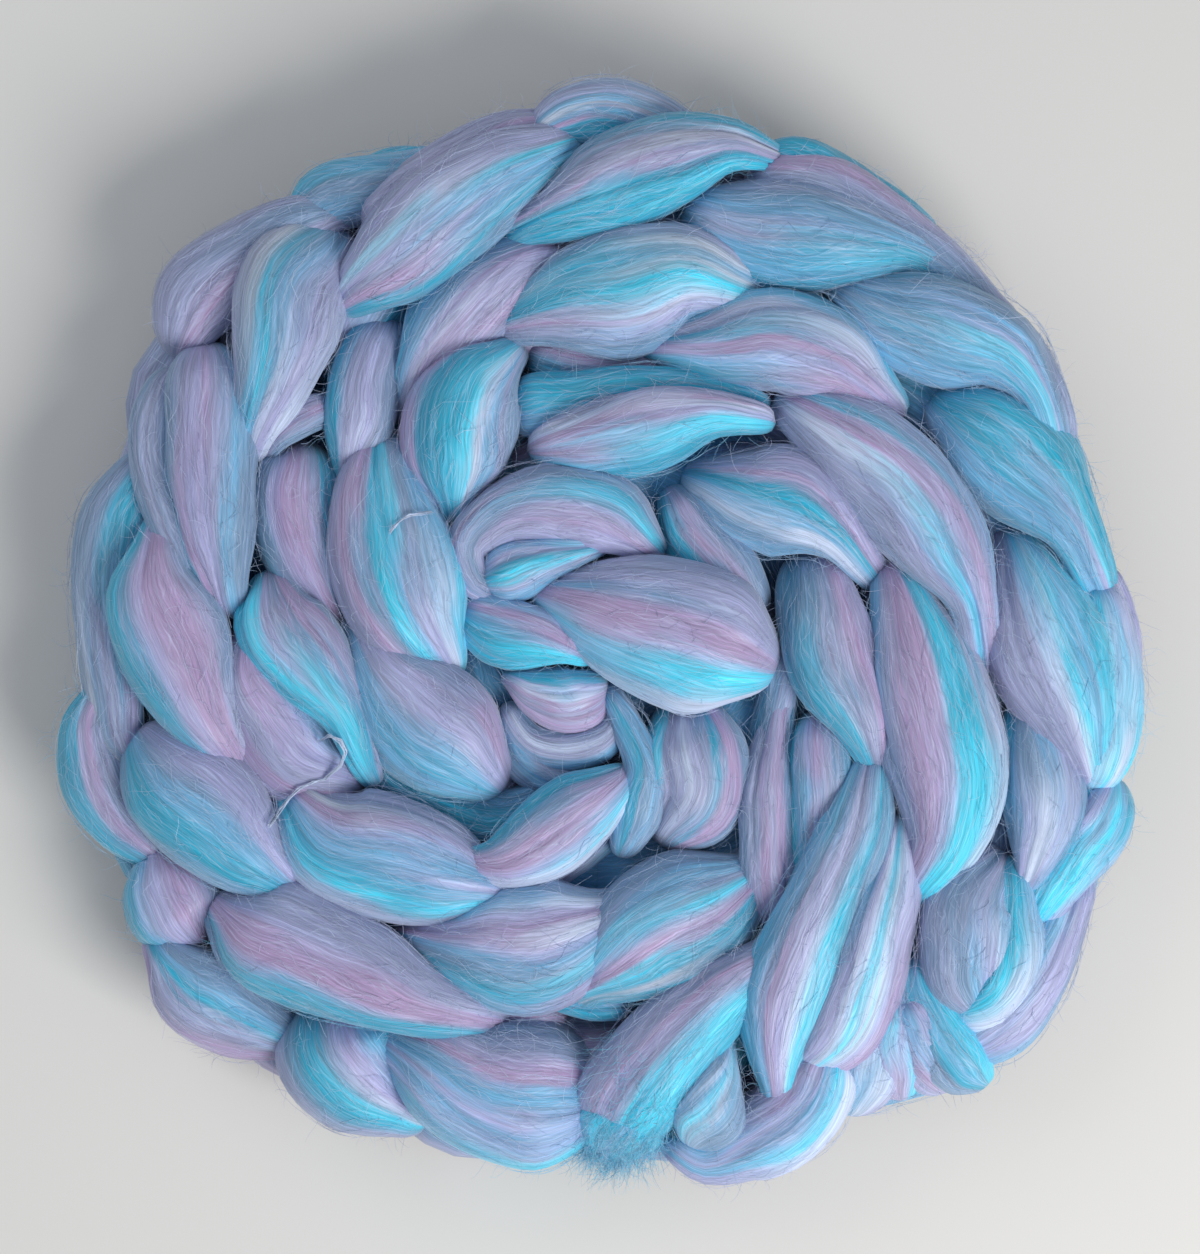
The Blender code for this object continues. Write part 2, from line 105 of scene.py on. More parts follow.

# One row for each leg that shows, clockwise round the coil. First its stripes of dye from the left of its run
# to the right, where it starts and, after the arrow, where it ends, with a bar where a deep fold lies between
# two. Stripes of silk, cyan and cream (W, C, K) are partly the wool's own colour and partly painted
# highlights where the sheen catches crowns and noses. Dark teal (D) stripes are painted shade on sides and
# low legs that lie in shadow. Then the knots that its middle passes: place in the plan, width of the leg and
# height of its crown, mm.
PATHS = {
    "tail": ("TTCBLLMLL>TCCTCLVMLL", (46, -87, 10, 43), (28, -101, 22, 49), (14, -116, 26, 50),
        (4, -131, 27, 47), (-1, -142, 25, 38.5)),
    "tail_tip": ("CTCTBTCTCB", (6, -128, 12, 40), (2, -136, 25, 43), (-1, -145, 24, 37)),
    "curl": ("GBWCBWG", (31, -115, 7, 42), (29, -123, 15, 46), (27, -133, 20, 49), (24, -141, 16, 45)),
    "end_bed": ("LVL", (66, -122, 20, 26), (34, -131, 30, 27), (0, -137, 22, 26)),
    "end_loop": ("WCBVMM>VBVBG", (60, -116, 18, 46), (56, -127, 22, 45), (48, -136, 23, 43),
        (37, -141, 21, 41), (26, -146, 14, 38), (18, -142, 10, 36)),
    "end_leg_in": ("GTTLLGB>DCCWVMBT", (72, -37, 12, 44), (69, -50, 19, 50), (62, -67, 23, 52),
        (54, -85, 25, 52), (48, -103, 25, 50), (46, -116, 17, 47), (46, -126, 7, 43)),
    "end_leg_out": ("LVWCWVBG>MVWCWVLG", (79, -54, 9, 44), (77, -68, 17, 49), (73, -82, 21, 51),
        (69, -97, 23, 51), (62, -111, 22, 49), (54, -119, 14, 45)),
    "outer_01": ("CCVBVVBBMMLG>TVBBVBBTMMLG", (-4, -130, 36, 43), (-21, -128, 40, 48), (-37, -125, 34, 49),
        (-50, -118, 25, 47), (-58, -114, 12, 41)),
    "outer_02": ("TTLMMMLLLL>TTVMMMMVLLL", (-38, -105, 4, 47), (-52, -101, 18, 51), (-68, -94, 27, 53),
        (-85, -87, 30, 53), (-100, -81, 24, 49), (-106, -77, 13, 44)),
    "outer_03": ("BTTTBBVVL>GTTBBGVL", (-90, -69, 12, 45), (-99, -62, 23, 51), (-109, -51, 31, 53),
        (-120, -40, 29, 51), (-129, -30, 19, 45)),
    "outer_04": ("TVMML>TTVMMMLG", (-105, -32, 7, 46), (-112, -21, 21, 51), (-119, -4, 31, 53),
        (-125, 13, 25, 51), (-125, 26, 12, 45)),
    "outer_05": ("CMVVLBBG>GLVMVLBG", (-105, 9, 9, 46), (-108, 27, 19, 50), (-110, 47, 24, 50),
        (-111, 64, 23, 48), (-112, 78, 20, 43)),
    "outer_06": ("LGBCBWVVW>LKTGBLL", (-99, 54, 6, 45), (-94, 67, 19, 50), (-90, 83, 28, 53),
        (-86, 98, 29, 51), (-76, 111, 24, 43)),
    "outer_07": ("LVWWVLMMTT>LLVLCBBTTG", (-72, 92, 15, 47), (-59, 102, 25, 53), (-45, 115, 28, 54),
        (-29, 126, 24, 52), (-12, 134, 12, 45)),
    "outer_08": ("GLLMG|CTTT>TLKLMTT|CT", (-26, 111, 6, 44), (-12, 117, 17, 51), (1, 123, 25, 53),
        (18, 130, 23, 53), (34, 133, 14, 51), (43, 131, 7, 46)),
    "outer_09": ("LGBVLBBT>LBBBTTTD", (23, 117, 17, 44), (37, 111, 26, 50), (54, 109, 29, 53),
        (70, 107, 20, 51), (82, 105, 12, 46), (95, 100, 6, 40)),
    "outer_10": ("TGBBGBGB>LGBVCBTB", (65, 94, 11, 44), (76, 88, 23, 50), (92, 83, 29, 53),
        (109, 76, 22, 52), (118, 65, 12, 49), (122, 55, 5, 46)),
    "outer_11": ("TTTTTBBG>TTCVBBBT", (92, 63, 18, 44), (102, 56, 28, 50), (116, 42, 30, 52),
        (127, 28, 17, 51), (133, 16, 5, 46)),
    "outer_12": ("CTBTBLLM>WCBCWVLL", (112, 23, 16, 44), (116, 9, 28, 50), (122, -8, 34, 52),
        (128, -23, 25, 50), (132, -37, 13, 45)),
    "outer_13": ("VBTC>CWCWCB", (133, 13, 14, 42), (136, -2, 19, 45), (137, -19, 19, 46),
        (136, -32, 18, 45), (133, -43, 14, 42)),
    "outer_14": ("LLBGGT>TBVWWVG", (114, -22, 13, 42), (118, -35, 21, 46), (120, -49, 22, 48),
        (118, -61, 16, 46), (115, -70, 8, 43)),
    "outer_15": ("BGLGL>TWVBGLG", (107, -63, 14, 43), (99, -72, 24, 49), (97, -85, 24, 50),
        (98, -97, 21, 47), (101, -104, 13, 42)),
    "outer_16": ("BTTB>WWCTT", (110, -65, 9, 43), (110, -78, 15, 46), (110, -90, 18, 46),
        (104, -101, 17, 45), (95, -106, 12, 40)),
    "outer_17": ("TBCVVC>VCCTV", (139, -42, 15, 41), (134, -53, 19, 43), (127, -63, 19, 43),
        (121, -73, 16, 42), (117, -81, 12, 39)),
    "outer_18": ("CTBTG", (83, -91, 9, 40), (86, -102, 15, 43), (92, -112, 17, 43), (100, -121, 16, 40),
        (104, -125, 12, 35)),
    "fan_01": ("VBWGV>VWBGV", (72, -107, 15, 41), (69, -120, 22, 41), (67, -133, 22, 36)),
    "fan_02": ("BVCV>TCVMV", (78, -101, 13, 42), (79, -115, 22, 42), (82, -129, 23, 36)),
    "fan_03": ("MVBV>BVBMV", (81, -101, 13, 42), (88, -114, 21, 42), (95, -126, 21, 36)),
    "fan_04": ("LVBCB", (55, -130, 12, 26), (67, -127, 16, 28), (82, -123, 16, 29), (95, -119, 16, 29),
        (106, -112, 13, 26)),
    "outer_20": ("LVVVBV>BVVWCB", (130, -68, 11, 36), (124, -82, 15, 40), (117, -96, 19, 41),
        (108, -108, 20, 41), (98, -116, 16, 36)),
    "rim_01": ("LTCWVBT>LGTTGVMBT", (-57, -134, 16, 34), (-67, -127, 29, 40), (-75, -117, 35, 43),
        (-79, -103, 34, 39)),
    "rim_02": ("MLLTBGGG", (-89, -114, 14, 30), (-104, -107, 24, 35), (-116, -98, 24, 38),
        (-125, -87, 10, 35)),
    "rim_03": ("TBVVMMLG", (-114, -85, 20, 37), (-119, -78, 27, 41), (-123, -70, 25, 40),
        (-126, -62, 15, 36)),
    "rim_04": ("TTLMLG", (-126, -63, 10, 33), (-136, -53, 17, 37), (-143, -39, 20, 39), (-145, -26, 16, 38),
        (-141, -16, 10, 36)),
    "rim_06": ("GKGLLMMG>GGLTTG", (-132, -36, 8, 36), (-136, -28, 15, 38), (-137, -19, 17, 39),
        (-139, -2, 19, 38), (-139, 16, 21, 39), (-136, 32, 21, 38), (-128, 49, 13, 35)),
    "rim_07": ("GLGB>GLG", (-115, 14, 6, 43), (-120, 28, 12, 44), (-125, 45, 15, 43), (-125, 60, 14, 40),
        (-122, 72, 10, 34)),
    "rim_08": ("LLLML>LGGLL", (-120, 79, 14, 37), (-114, 92, 23, 42), (-100, 104, 20, 43),
        (-84, 113, 15, 42), (-73, 116, 8, 39)),
    "rim_09": ("TTGBG>BGG", (-88, 113, 8, 35), (-80, 119, 17, 40), (-67, 123, 18, 41), (-52, 127, 14, 39),
        (-43, 131, 10, 35)),
    "rim_10": ("LLBKBMTT", (-20, 138, 10, 42), (-12, 142, 16, 45), (-1, 144, 17, 46), (12, 141, 15, 44),
        (27, 134, 8, 38)),
    "rim_11": ("TTTTG", (38, 131, 7, 36), (50, 130, 13, 42), (63, 125, 13, 42), (77, 118, 9, 40),
        (88, 111, 5, 36)),
    "rim_12": ("MLVB>LGGB", (39, 125, 13, 43), (58, 122, 17, 46), (75, 113, 15, 45), (91, 102, 14, 43),
        (105, 87, 13, 41), (113, 73, 11, 38)),
    "rim_13": ("TBTT", (117, 64, 8, 38), (122, 53, 12, 42), (126, 39, 13, 43), (128, 25, 12, 42),
        (133, 13, 9, 40)),
    "rim_14": ("VMVL", (135, 17, 9, 36), (139, 5, 12, 39), (142, -10, 10, 39), (143, -27, 9, 37)),
    "rim_15": ("TT", (-72, 127, 6, 30), (-61, 130, 8, 33), (-48, 131, 7, 31)),
    "rim_16": ("LLMLK", (-67, 113, 11, 41), (-56, 121, 16, 44), (-43, 130, 15, 45), (-27, 138, 13, 43),
        (-16, 141, 9, 38)),
    "rim_17": ("GBGK", (-103, -94, 9, 37), (-106, -85, 11, 40), (-110, -75, 9, 38)),
    "second_01": ("DDTMLCLBG>TKTCMMVBCLG", (39, -68, 18, 43), (28, -75, 31, 49), (14, -82, 34, 52),
        (0, -92, 23, 50), (-7, -97, 9, 44)),
    "second_02": ("MMTCGBVWMVWG>TTGBMVB", (0, -78, 15, 44), (-10, -83, 30, 50), (-25, -87, 36, 53),
        (-40, -87, 25, 51), (-50, -85, 9, 44)),
    "second_03": ("LCBVBBVL>WLCTTBBVMKL", (-31, -71, 12, 45), (-45, -67, 26, 51), (-61, -62, 32, 53),
        (-76, -57, 29, 50), (-87, -46, 14, 44)),
    "second_04": ("LMLLVVBB>MLML", (-71, -42, 16, 40), (-86, -36, 26, 44), (-94, -25, 27, 46),
        (-100, -12, 18, 46), (-100, -3, 9, 42)),
    "second_05": ("TCCTL>TCCVLGMMG", (-67, -37, 6, 44), (-73, -22, 14, 49), (-83, -8, 23, 52),
        (-92, 5, 21, 50), (-94, 14, 13, 44)),
    "second_06": ("TGVMMT>GGVMMLT", (-77, 6, 7, 38), (-84, 20, 20, 43), (-88, 36, 23, 45),
        (-87, 51, 21, 42)),
    "second_07": ("TTLLVLG", (-73, 43, 6, 37), (-70, 56, 17, 43), (-67, 71, 20, 44), (-62, 86, 15, 38)),
    "second_08": ("TBBGWMLMLG>BGMVLML", (-56, 63, 4, 37), (-52, 73, 14, 43), (-45, 84, 24, 46),
        (-34, 95, 24, 46), (-21, 103, 14, 43), (-12, 105, 9, 39)),
    "second_09": ("GTTTTLMLG>LKBKCCCWVB", (-27, 86, 15, 44), (-12, 91, 27, 51), (4, 94, 34, 53),
        (21, 98, 26, 52), (37, 94, 7, 46)),
    "second_10": ("TLTMBT>TBWWLMVMM", (14, 79, 11, 43), (29, 79, 22, 50), (45, 80, 28, 53),
        (62, 76, 24, 52), (76, 65, 9, 45)),
    "second_11": ("LTMMWLLL>BVMVV|CBVLG", (50, 63, 15, 45), (65, 53, 25, 53), (79, 40, 30, 55),
        (92, 23, 25, 54), (100, 7, 13, 51), (102, -3, 4, 47)),
    "second_12": ("LTTMMLB>WCCCVMML", (78, 15, 15, 46), (83, -2, 26, 52), (89, -21, 31, 54),
        (93, -41, 29, 54), (91, -59, 19, 51), (85, -70, 6, 46)),
    "second_13": ("LMLG", (-94, 50, 5, 40), (-87, 57, 10, 43), (-77, 63, 12, 40)),
    "second_14": ("TBT", (-16, -101, 6, 36), (-7, -102, 9, 38), (5, -103, 7, 36)),
    "inner_01": ("DMLMLL>GMLMLG", (48, -14, 5, 34), (46, -28, 10, 39), (43, -43, 14, 44), (43, -60, 14, 44),
        (44, -74, 15, 42), (45, -82, 14, 38)),
    "inner_02": ("TGLMVLT>TLLBT", (57, -24, 14, 41), (57, -38, 17, 45), (56, -54, 13, 44),
        (53, -72, 8, 40)),
    "inner_03": ("LMLGGD>LMLLTTT", (55, 20, 18, 43), (59, 3, 24, 50), (63, -13, 25, 52), (69, -26, 16, 50),
        (72, -34, 7, 45)),
    "inner_04": ("LLVMTTBBWGB", (25, 42, 14, 42), (36, 38, 25, 50), (50, 35, 29, 53), (62, 27, 17, 50),
        (70, 18, 7, 44)),
    "inner_05": ("LWMMVMBT>LMWVVCCT", (-19, 51, 12, 46), (-4, 53, 20, 51), (12, 56, 23, 53),
        (29, 59, 14, 53), (40, 58, 9, 50)),
    "inner_06": ("TTTTB", (-27, 62, 18, 42), (-10, 64, 14, 44), (7, 67, 13, 45), (26, 67, 9, 44),
        (40, 64, 5, 42)),
    "inner_07": ("MTTTTCWBLG", (-43, 34, 10, 42), (-43, 45, 26, 50), (-41, 58, 29, 52), (-35, 69, 24, 50),
        (-28, 76, 14, 44)),
    "inner_08": ("LLMLTCBVVWWC>LLMMTTCGGBB", (-47, -9, 17, 45), (-54, 3, 29, 53), (-60, 20, 34, 54),
        (-63, 36, 28, 50), (-64, 51, 18, 43)),
    "inner_09": ("TBTBBVVVMM>TBBBLLVLG", (-33, -41, 18, 46), (-44, -31, 31, 52), (-54, -21, 32, 53),
        (-63, -10, 20, 50), (-68, -2, 9, 44)),
    "inner_10": ("WCBVMMMLT>WVMMLT", (3, -40, 11, 46), (-7, -48, 19, 50), (-19, -57, 21, 51),
        (-32, -63, 13, 49), (-38, -63, 6, 46)),
    "inner_11": ("DTTB>DDTD", (-16, -45, 9, 36), (-29, -52, 16, 37), (-43, -50, 17, 36), (-56, -45, 13, 34),
        (-67, -37, 8, 32)),
    "inner_12": ("GMLT", (-24, 78, 13, 34), (-12, 75, 14, 38), (4, 74, 13, 38), (18, 74, 10, 36)),
    "heart_01": ("LLVBMMMMBBT>LLVLVMMVCCCW", (-17, 11, 10, 44), (-6, 7, 25, 52), (12, 2, 35, 57),
        (30, -4, 36, 58), (42, -9, 25, 54)),
    "heart_02": ("LMLGL>LGTCBLMV", (-27, 9, 6, 38), (-37, 13, 10, 43), (-40, 23, 12, 46), (-32, 32, 16, 49),
        (-15, 36, 21, 51), (1, 32, 20, 50), (12, 23, 11, 45)),
    "heart_03": ("BVTCLB", (-34, 14, 13, 45), (-27, 16, 16, 47), (-16, 20, 12, 48), (-4, 23, 4, 46)),
    "heart_04": ("BMBTTT>LMMVCC", (-41, 6, 12, 42), (-30, 1, 19, 47), (-18, -2, 15, 48), (-9, -6, 7, 45)),
    "heart_05": ("MLMWVTTB", (-2, -15, 14, 42), (-11, -18, 17, 45), (-21, -16, 13, 44), (-27, -13, 8, 41)),
    "heart_06": ("BLWLG", (4, -19, 7, 37), (-1, -28, 10, 40), (-12, -32, 11, 41), (-22, -30, 10, 40),
        (-29, -21, 7, 37)),
    "heart_07": ("BLBG", (-28, -22, 6, 35), (-26, -33, 10, 38), (-16, -40, 10, 38), (-4, -40, 7, 35)),
    "heart_08": ("TCLLLWLLTMMG", (16, -56, 18, 42), (23, -46, 28, 48), (23, -34, 30, 49),
        (21, -21, 25, 44)),
    "heart_09": ("GBTGBG", (3, -61, 9, 40), (7, -50, 13, 44), (10, -38, 10, 44), (6, -27, 9, 42),
        (-1, -16, 7, 38)),
    "heart_10": ("GGLMLTT", (17, 38, 12, 39), (23, 28, 20, 43), (32, 17, 17, 44), (40, 6, 11, 40)),
    "heart_11": ("GLGD", (50, 2, 7, 36), (47, -16, 10, 38), (44, -30, 12, 38), (38, -44, 6, 36)),
    "heart_12": ("LLM", (10, -30, 9, 33), (-1, -34, 10, 35), (-14, -34, 8, 34)),
}
TWISTED = {"curl": 2.2}  # how far a leg's fibres turn round it over its length, where that is plain, radians

LAYERS = {"top": (72, 28), "lower": (30, 12), "bed": (34, 11)}  # sides and stations of their legs
TOP_SHARE = 0.76  # of a leg's sides that are fine and lie on its upper half
FINE_SIDES, COARSE_SIDES, SEAM = (-0.12, 1.12), (1.12, 1.88), 1.5  # where they lie and meet, in half turns
EVEN_STATIONS = 0.35  # the share by which stations are evenly spaced; the rest crowds them at the ends

# Creases between the clumps of fibre, from the widest clumps to the finest: the clump's width, how deep the
# crease beside it is, and how sharp, as a share of the clump's width.
Crease = namedtuple("Crease", "clump depth sharpness")
CREASES = (Crease(13.0, 1.3, 0.12), Crease(5.5, 0.7, 0.16), Crease(2.4, 0.30, 0.25))
CREASE_LENGTH = 6  # of the clump's widths
FOLD_DEPTH, FOLD_WIDTH = 2.8, 1.6  # mm
FOLD_GROWTH = 2  # how fast a fold deepens along a leg that has it at one end only
LUMP, LUMP_WIDTH, LUMP_LENGTH = 1.1, 16, 18  # uneven fullness along a leg, mm
PLUMPNESS = 0.5  # how far the wool stands out between creases, mm
REST, REST_LUMP, REST_WIDTH, REST_LENGTH = 0.15, 0.5, 3, 9  # height and unevenness where it rests, mm
FIBRE_LAYER = 7.3  # between the patterns of fibre of legs whose seeds are one apart
TWIST = 0.35  # most that the fibres of the other legs turn round them, radians
# How the fibres bend to and fro: by how many radians, how often along the leg, and how often round it.
Bend = namedtuple("Bend", "amount waves turns")
WIDE_BEND, FINE_BEND = Bend(0.22, 2.5, 0.37), Bend(0.12, 4.5, 0.8)

# Stripes. A wander is how far an edge strays, the width of its waves in mm, and their number along the leg.
STRIPE_SEED = 40  # from a leg's own seed to that of its stripes
SOFT_EDGE = 4.0  # over which one stripe of dye fades into the next, mm
Wander = namedtuple("Wander", "amount width waves")
WANDER_WIDE, WANDER_FINE = Wander(1.6, 7, 3), Wander(1.5, 0.9, 3)  # of the edges between stripes, in mm
# Where along a leg its first stripes give way to its last, as shares of its length.
CHANGE_FROM, CHANGE_OVER, CHANGE_WANDER = 0.15, 0.7, Wander(0.22, 1.6, 2)
PATCH_SHARE, PATCH_SHIFT = 0.45, 4.0  # of the fibres from beside in a patch, and how far beside, mm
PATCH_FROM, PATCH_OVER, PATCH_WIDTH, PATCH_WAVES = 0.45, 0.4, 5, 5  # of the noise that places patches
COMPANION_SHARE, COMPANION_SHIFT = 0.65, 2.5  # of nearby dye among the other fibres, and how near, mm
QUIET_TURNS, QUIET_WAVES = 3, 2  # across a leg and along it, of the noise that picks their quiet dye

# Painted shade in the dye where light hardly reaches between the legs, by how far a point lies below the
# height round it.
PAINTED_SHADE_DEPTH = 10.0  # at which the painted shade is full, mm
PAINTED_SHADE_STRENGTH = 0.70  # the share of the dye's brightness that the painted shade takes off there
PAINTED_SHADE_RICHNESS = 0.9  # how much richer and darker the painted shade makes the dye there
PAINTED_SHADE_REACH = 6.0  # mm
MAP_CELL = 1.5  # mm
MAP_EDGE = 4  # empty cells round the coil


def linear(rgb):
    """sRGB out of 255 to linear."""
    value = np.asarray(rgb, float) / 255
    return np.where(value <= 0.04045, value / 12.92, ((value + 0.055) / 1.055) ** 2.4)


DYE_LINEAR = {code: linear(rgb) for code, rgb in DYES.items()}


def lattice(i, j, seed):
    """A repeatable number from 0 to 1 for each pair of whole numbers."""
    n = (i.astype(np.int64) * 374761393 + j.astype(np.int64) * 668265263 + seed * 974634777) & 0x7FFFFFFF
    n = ((n ^ (n >> 13)) * 1274126177) & 0x7FFFFFFF
    return ((n ^ (n >> 16)) & 0xFFFF) / 65535.0


def noise(x, y, seed):
    """Smooth noise from 0 to 1 over a plane of unit cells."""
    x, y = np.broadcast_arrays(np.asarray(x, float), np.asarray(y, float))
    i, j = np.floor(x), np.floor(y)
    fx, fy = x - i, y - j
    fx, fy = fx * fx * (3 - 2 * fx), fy * fy * (3 - 2 * fy)
    near = lattice(i, j, seed) * (1 - fx) + lattice(i + 1, j, seed) * fx
    far = lattice(i, j + 1, seed) * (1 - fx) + lattice(i + 1, j + 1, seed) * fx
    return near * (1 - fy) + far * fy


def unit(v):
    return v / np.maximum(np.linalg.norm(v, axis=-1, keepdims=True), 1e-9)


def smooth(x):
    x = np.clip(x, 0, 1)
    return x * x * (3 - 2 * x)


def full_knots(leg):
    """The knots at full width, with one more past each end, and how long the leg's noses are."""
    knots = np.array(leg.knots, float)
    knots[:, 2] *= FULLNESS
    width = knots[:, 2].max()
    ends, noses = [], []
    for end, inner in ((0, 1), (-1, -2)):
        narrow = max(0.0, BLUNT - knots[end, 2] / width)
        knots[end, 2] = max(knots[end, 2], LEAST_END * width)
        way = unit(knots[end, :2] - knots[inner, :2])
        run = (OVERSHOOT + HIDDEN_RUN * narrow) * width
        height = knots[end, 3] - END_DROP - HIDDEN_DIVE * narrow
        ends.append([*(knots[end, :2] + way * run), knots[end, 2], height])
        noses.append((ROUNDING + TAPERING * narrow) * knots[end, 2])
    return np.vstack([ends[0], knots, ends[1]]), noses


def lower_leg(leg):
    """The wool of the turn below a leg: the same layout turned and drawn in a little, lower down."""
    knots = np.array(leg.knots, float)
    width = knots[:, 2].max() * LOWER_WIDTH
    for end, inner in ((0, 1), (-1, -2)):
        knots[end, :2] += unit(knots[end, :2] - knots[inner, :2]) * width * LOWER_REACH
    turn = math.radians(LOWER_TURN)
    x, y = knots[:, 0].copy(), knots[:, 1].copy()
    knots[:, 0] = (x * math.cos(turn) - y * math.sin(turn)) * LOWER_INWARD
    knots[:, 1] = (x * math.sin(turn) + y * math.cos(turn)) * LOWER_INWARD
    knots[:, 2] = LOWER_EVEN * width + (1 - LOWER_EVEN) * np.minimum(knots[:, 2], width)
    knots[:, 3] -= LOWER_BY
    return Leg([tuple(knot) for knot in knots], leg.stripes.replace("|", ""), 0.0)


def along_leg(leg, t):
    """The leg's place, width and crown at each t from 0 to 1, and how far that is along it, in mm."""
    knots, _ = full_knots(leg)
    gaps = np.maximum(np.linalg.norm(np.diff(knots[:, :2], axis=0), axis=1), LEAST_GAP)
    place = np.concatenate([[0], np.cumsum(gaps)])
    slopes = np.gradient(knots, place, axis=0)
    at = np.clip(np.asarray(t, float), 0, 1) * place[-1]
    section = np.clip(np.searchsorted(place, at, side="right") - 1, 0, len(gaps) - 1)
    span = gaps[section][..., None]
    s = ((at - place[section]) / gaps[section])[..., None]
    a, b = knots[section], knots[section + 1]
    m, n = slopes[section] * span, slopes[section + 1] * span
    value = (2 * s**3 - 3 * s**2 + 1) * a + (s**3 - 2 * s**2 + s) * m
    value = value + (3 * s**2 - 2 * s**3) * b + (s**3 - s**2) * n
    return value, at, place[-1]


def frame_at(leg, t):
    """The leg's directions across to the right and ahead in the plan, at each t."""
    here, _, _ = along_leg(leg, np.maximum(t - GLANCE, 0))
    there, _, _ = along_leg(leg, np.minimum(t + GLANCE, 1))
    ahead = there[..., :3] - here[..., :3]
    ahead[..., 2] = 0
    ahead = unit(ahead)
    return np.stack([ahead[..., 1], -ahead[..., 0], np.zeros_like(ahead[..., 0])], -1), ahead


def skin(leg, t, angle, lift=0.0):
    """Points of the leg's plain surface at t along it and an angle round it, lifted clear by some mm."""
    value, at, length = along_leg(leg, t)
    _, noses = full_knots(leg)
    near = np.clip(at / noses[0], 0, 1)
    far = np.clip((length - at) / noses[1], 0, 1)
    closing = np.sqrt(1 - (1 - near) ** 2) * np.sqrt(1 - (1 - far) ** 2)
    half = np.maximum(value[..., 2], LEAST_WIDTH) / 2
    height = value[..., 3] - half * FLATNESS * (1 + NOSE_DROP * (1 - closing))
    half = half * (NOSE_TIP + (1 - NOSE_TIP) * closing)
    across, _ = frame_at(leg, t)
    sideways = (half + lift * closing) * np.cos(angle)
    centre = np.stack([value[..., 0] + SHIFT[0], value[..., 1] + SHIFT[1], height], -1)
    points = centre + across * sideways[..., None]
    points[..., 2] += (half * FLATNESS + lift * closing) * np.sin(angle)
    return points


def widest(leg):
    return max(knot[2] for knot in leg.knots) * FULLNESS


def bands(codes, place, width):
    """Dye across equal stripes that fade into each other; place runs from 0 at the left to 1 at the right."""
    soft = min(1.0, SOFT_EDGE * len(codes) / width)
    table = np.array([DYE_LINEAR[code] for code in codes])
    x = np.clip(place * len(codes) - 0.5, 0, len(codes) - 1)
    i = np.minimum(np.floor(x).astype(int), max(len(codes) - 2, 0))
    f = smooth((x - i - 0.5) / soft + 0.5)[..., None]
    return table[i] * (1 - f) + table[np.minimum(i + 1, len(codes) - 1)] * f


def stripe_dye(leg, lean, t, seed):
    """Dye at a place across the leg, from 0 at its left to 1 at its right, and t along it."""
    width = widest(leg)
    wide, fine, change = WANDER_WIDE, WANDER_FINE, CHANGE_WANDER
    first, _, last = leg.stripes.replace("|", "").partition(">")
    place = lean + wide.amount / width * 2 * (noise(t * wide.waves, lean * width / wide.width, seed) - 0.5)
    place += fine.amount / width * 2 * (noise(lean * width / fine.width, t * fine.waves, seed + 2) - 0.5)
    dye = bands(first, place, width)
    if last:
        at = t + change.amount * (noise(lean * width / change.width, t * change.waves, seed + 4) - 0.5)
        changed = smooth((at - CHANGE_FROM) / CHANGE_OVER)[..., None]
        dye = dye + changed * (bands(last, place, width) - dye)
    # Here and there the next stripe's fibres lie over it.
    patch = noise(t * PATCH_WAVES, lean * width / PATCH_WIDTH, seed + 6)
    patch = smooth((patch - PATCH_FROM) / PATCH_OVER)[..., None]
    beside = bands(last or first, place + PATCH_SHIFT / width, width)
    return dye + PATCH_SHARE * patch * (beside - dye)


def companion_dye(leg, lean, t, seed):
    """Dye of the other fibres there: a nearby stripe's, and some of the quiet greys of the whole length."""
    beside = stripe_dye(leg, lean + COMPANION_SHIFT / widest(leg), t, seed + 9)
    pick = noise(lean * QUIET_TURNS, t * QUIET_WAVES, seed + 8)[..., None]
    quiet = np.where(pick > 0.5, DYE_LINEAR["L"], DYE_LINEAR["W"])
    return COMPANION_SHARE * beside + (1 - COMPANION_SHARE) * quiet


def fold_sink(leg, lean, t):
    """How deep the leg's folds cut in, in mm."""
    sink = np.zeros_like(lean)
    first, _, last = leg.stripes.partition(">")
    for codes, share in ((first, 1 - t if last else 1 + 0 * t), (last, t)):
        bars = [at for at, code in enumerate(codes) if code == "|"]
        for before, bar in enumerate(bars):
            place = (bar - before) / (len(codes) - len(bars))
            gap = np.abs(lean - place) * widest(leg)
            sink += FOLD_DEPTH * smooth(share * FOLD_GROWTH) * np.exp(-gap / FOLD_WIDTH)
    return np.minimum(sink, FOLD_DEPTH)


def cells_of(grid):
    """The values at the four corners of each cell, in turn round it. The last axis is one value's own."""
    near, far = grid[..., :-1, :, :], grid[..., 1:, :, :]
    corners = [near[..., :-1, :], near[..., 1:, :], far[..., 1:, :], far[..., :-1, :]]
    return np.stack(corners, -2).reshape(-1, 4, grid.shape[-1])


def fill(collection, name, values, kind=np.float32):
    collection.foreach_set(name, values.astype(kind).reshape(-1))


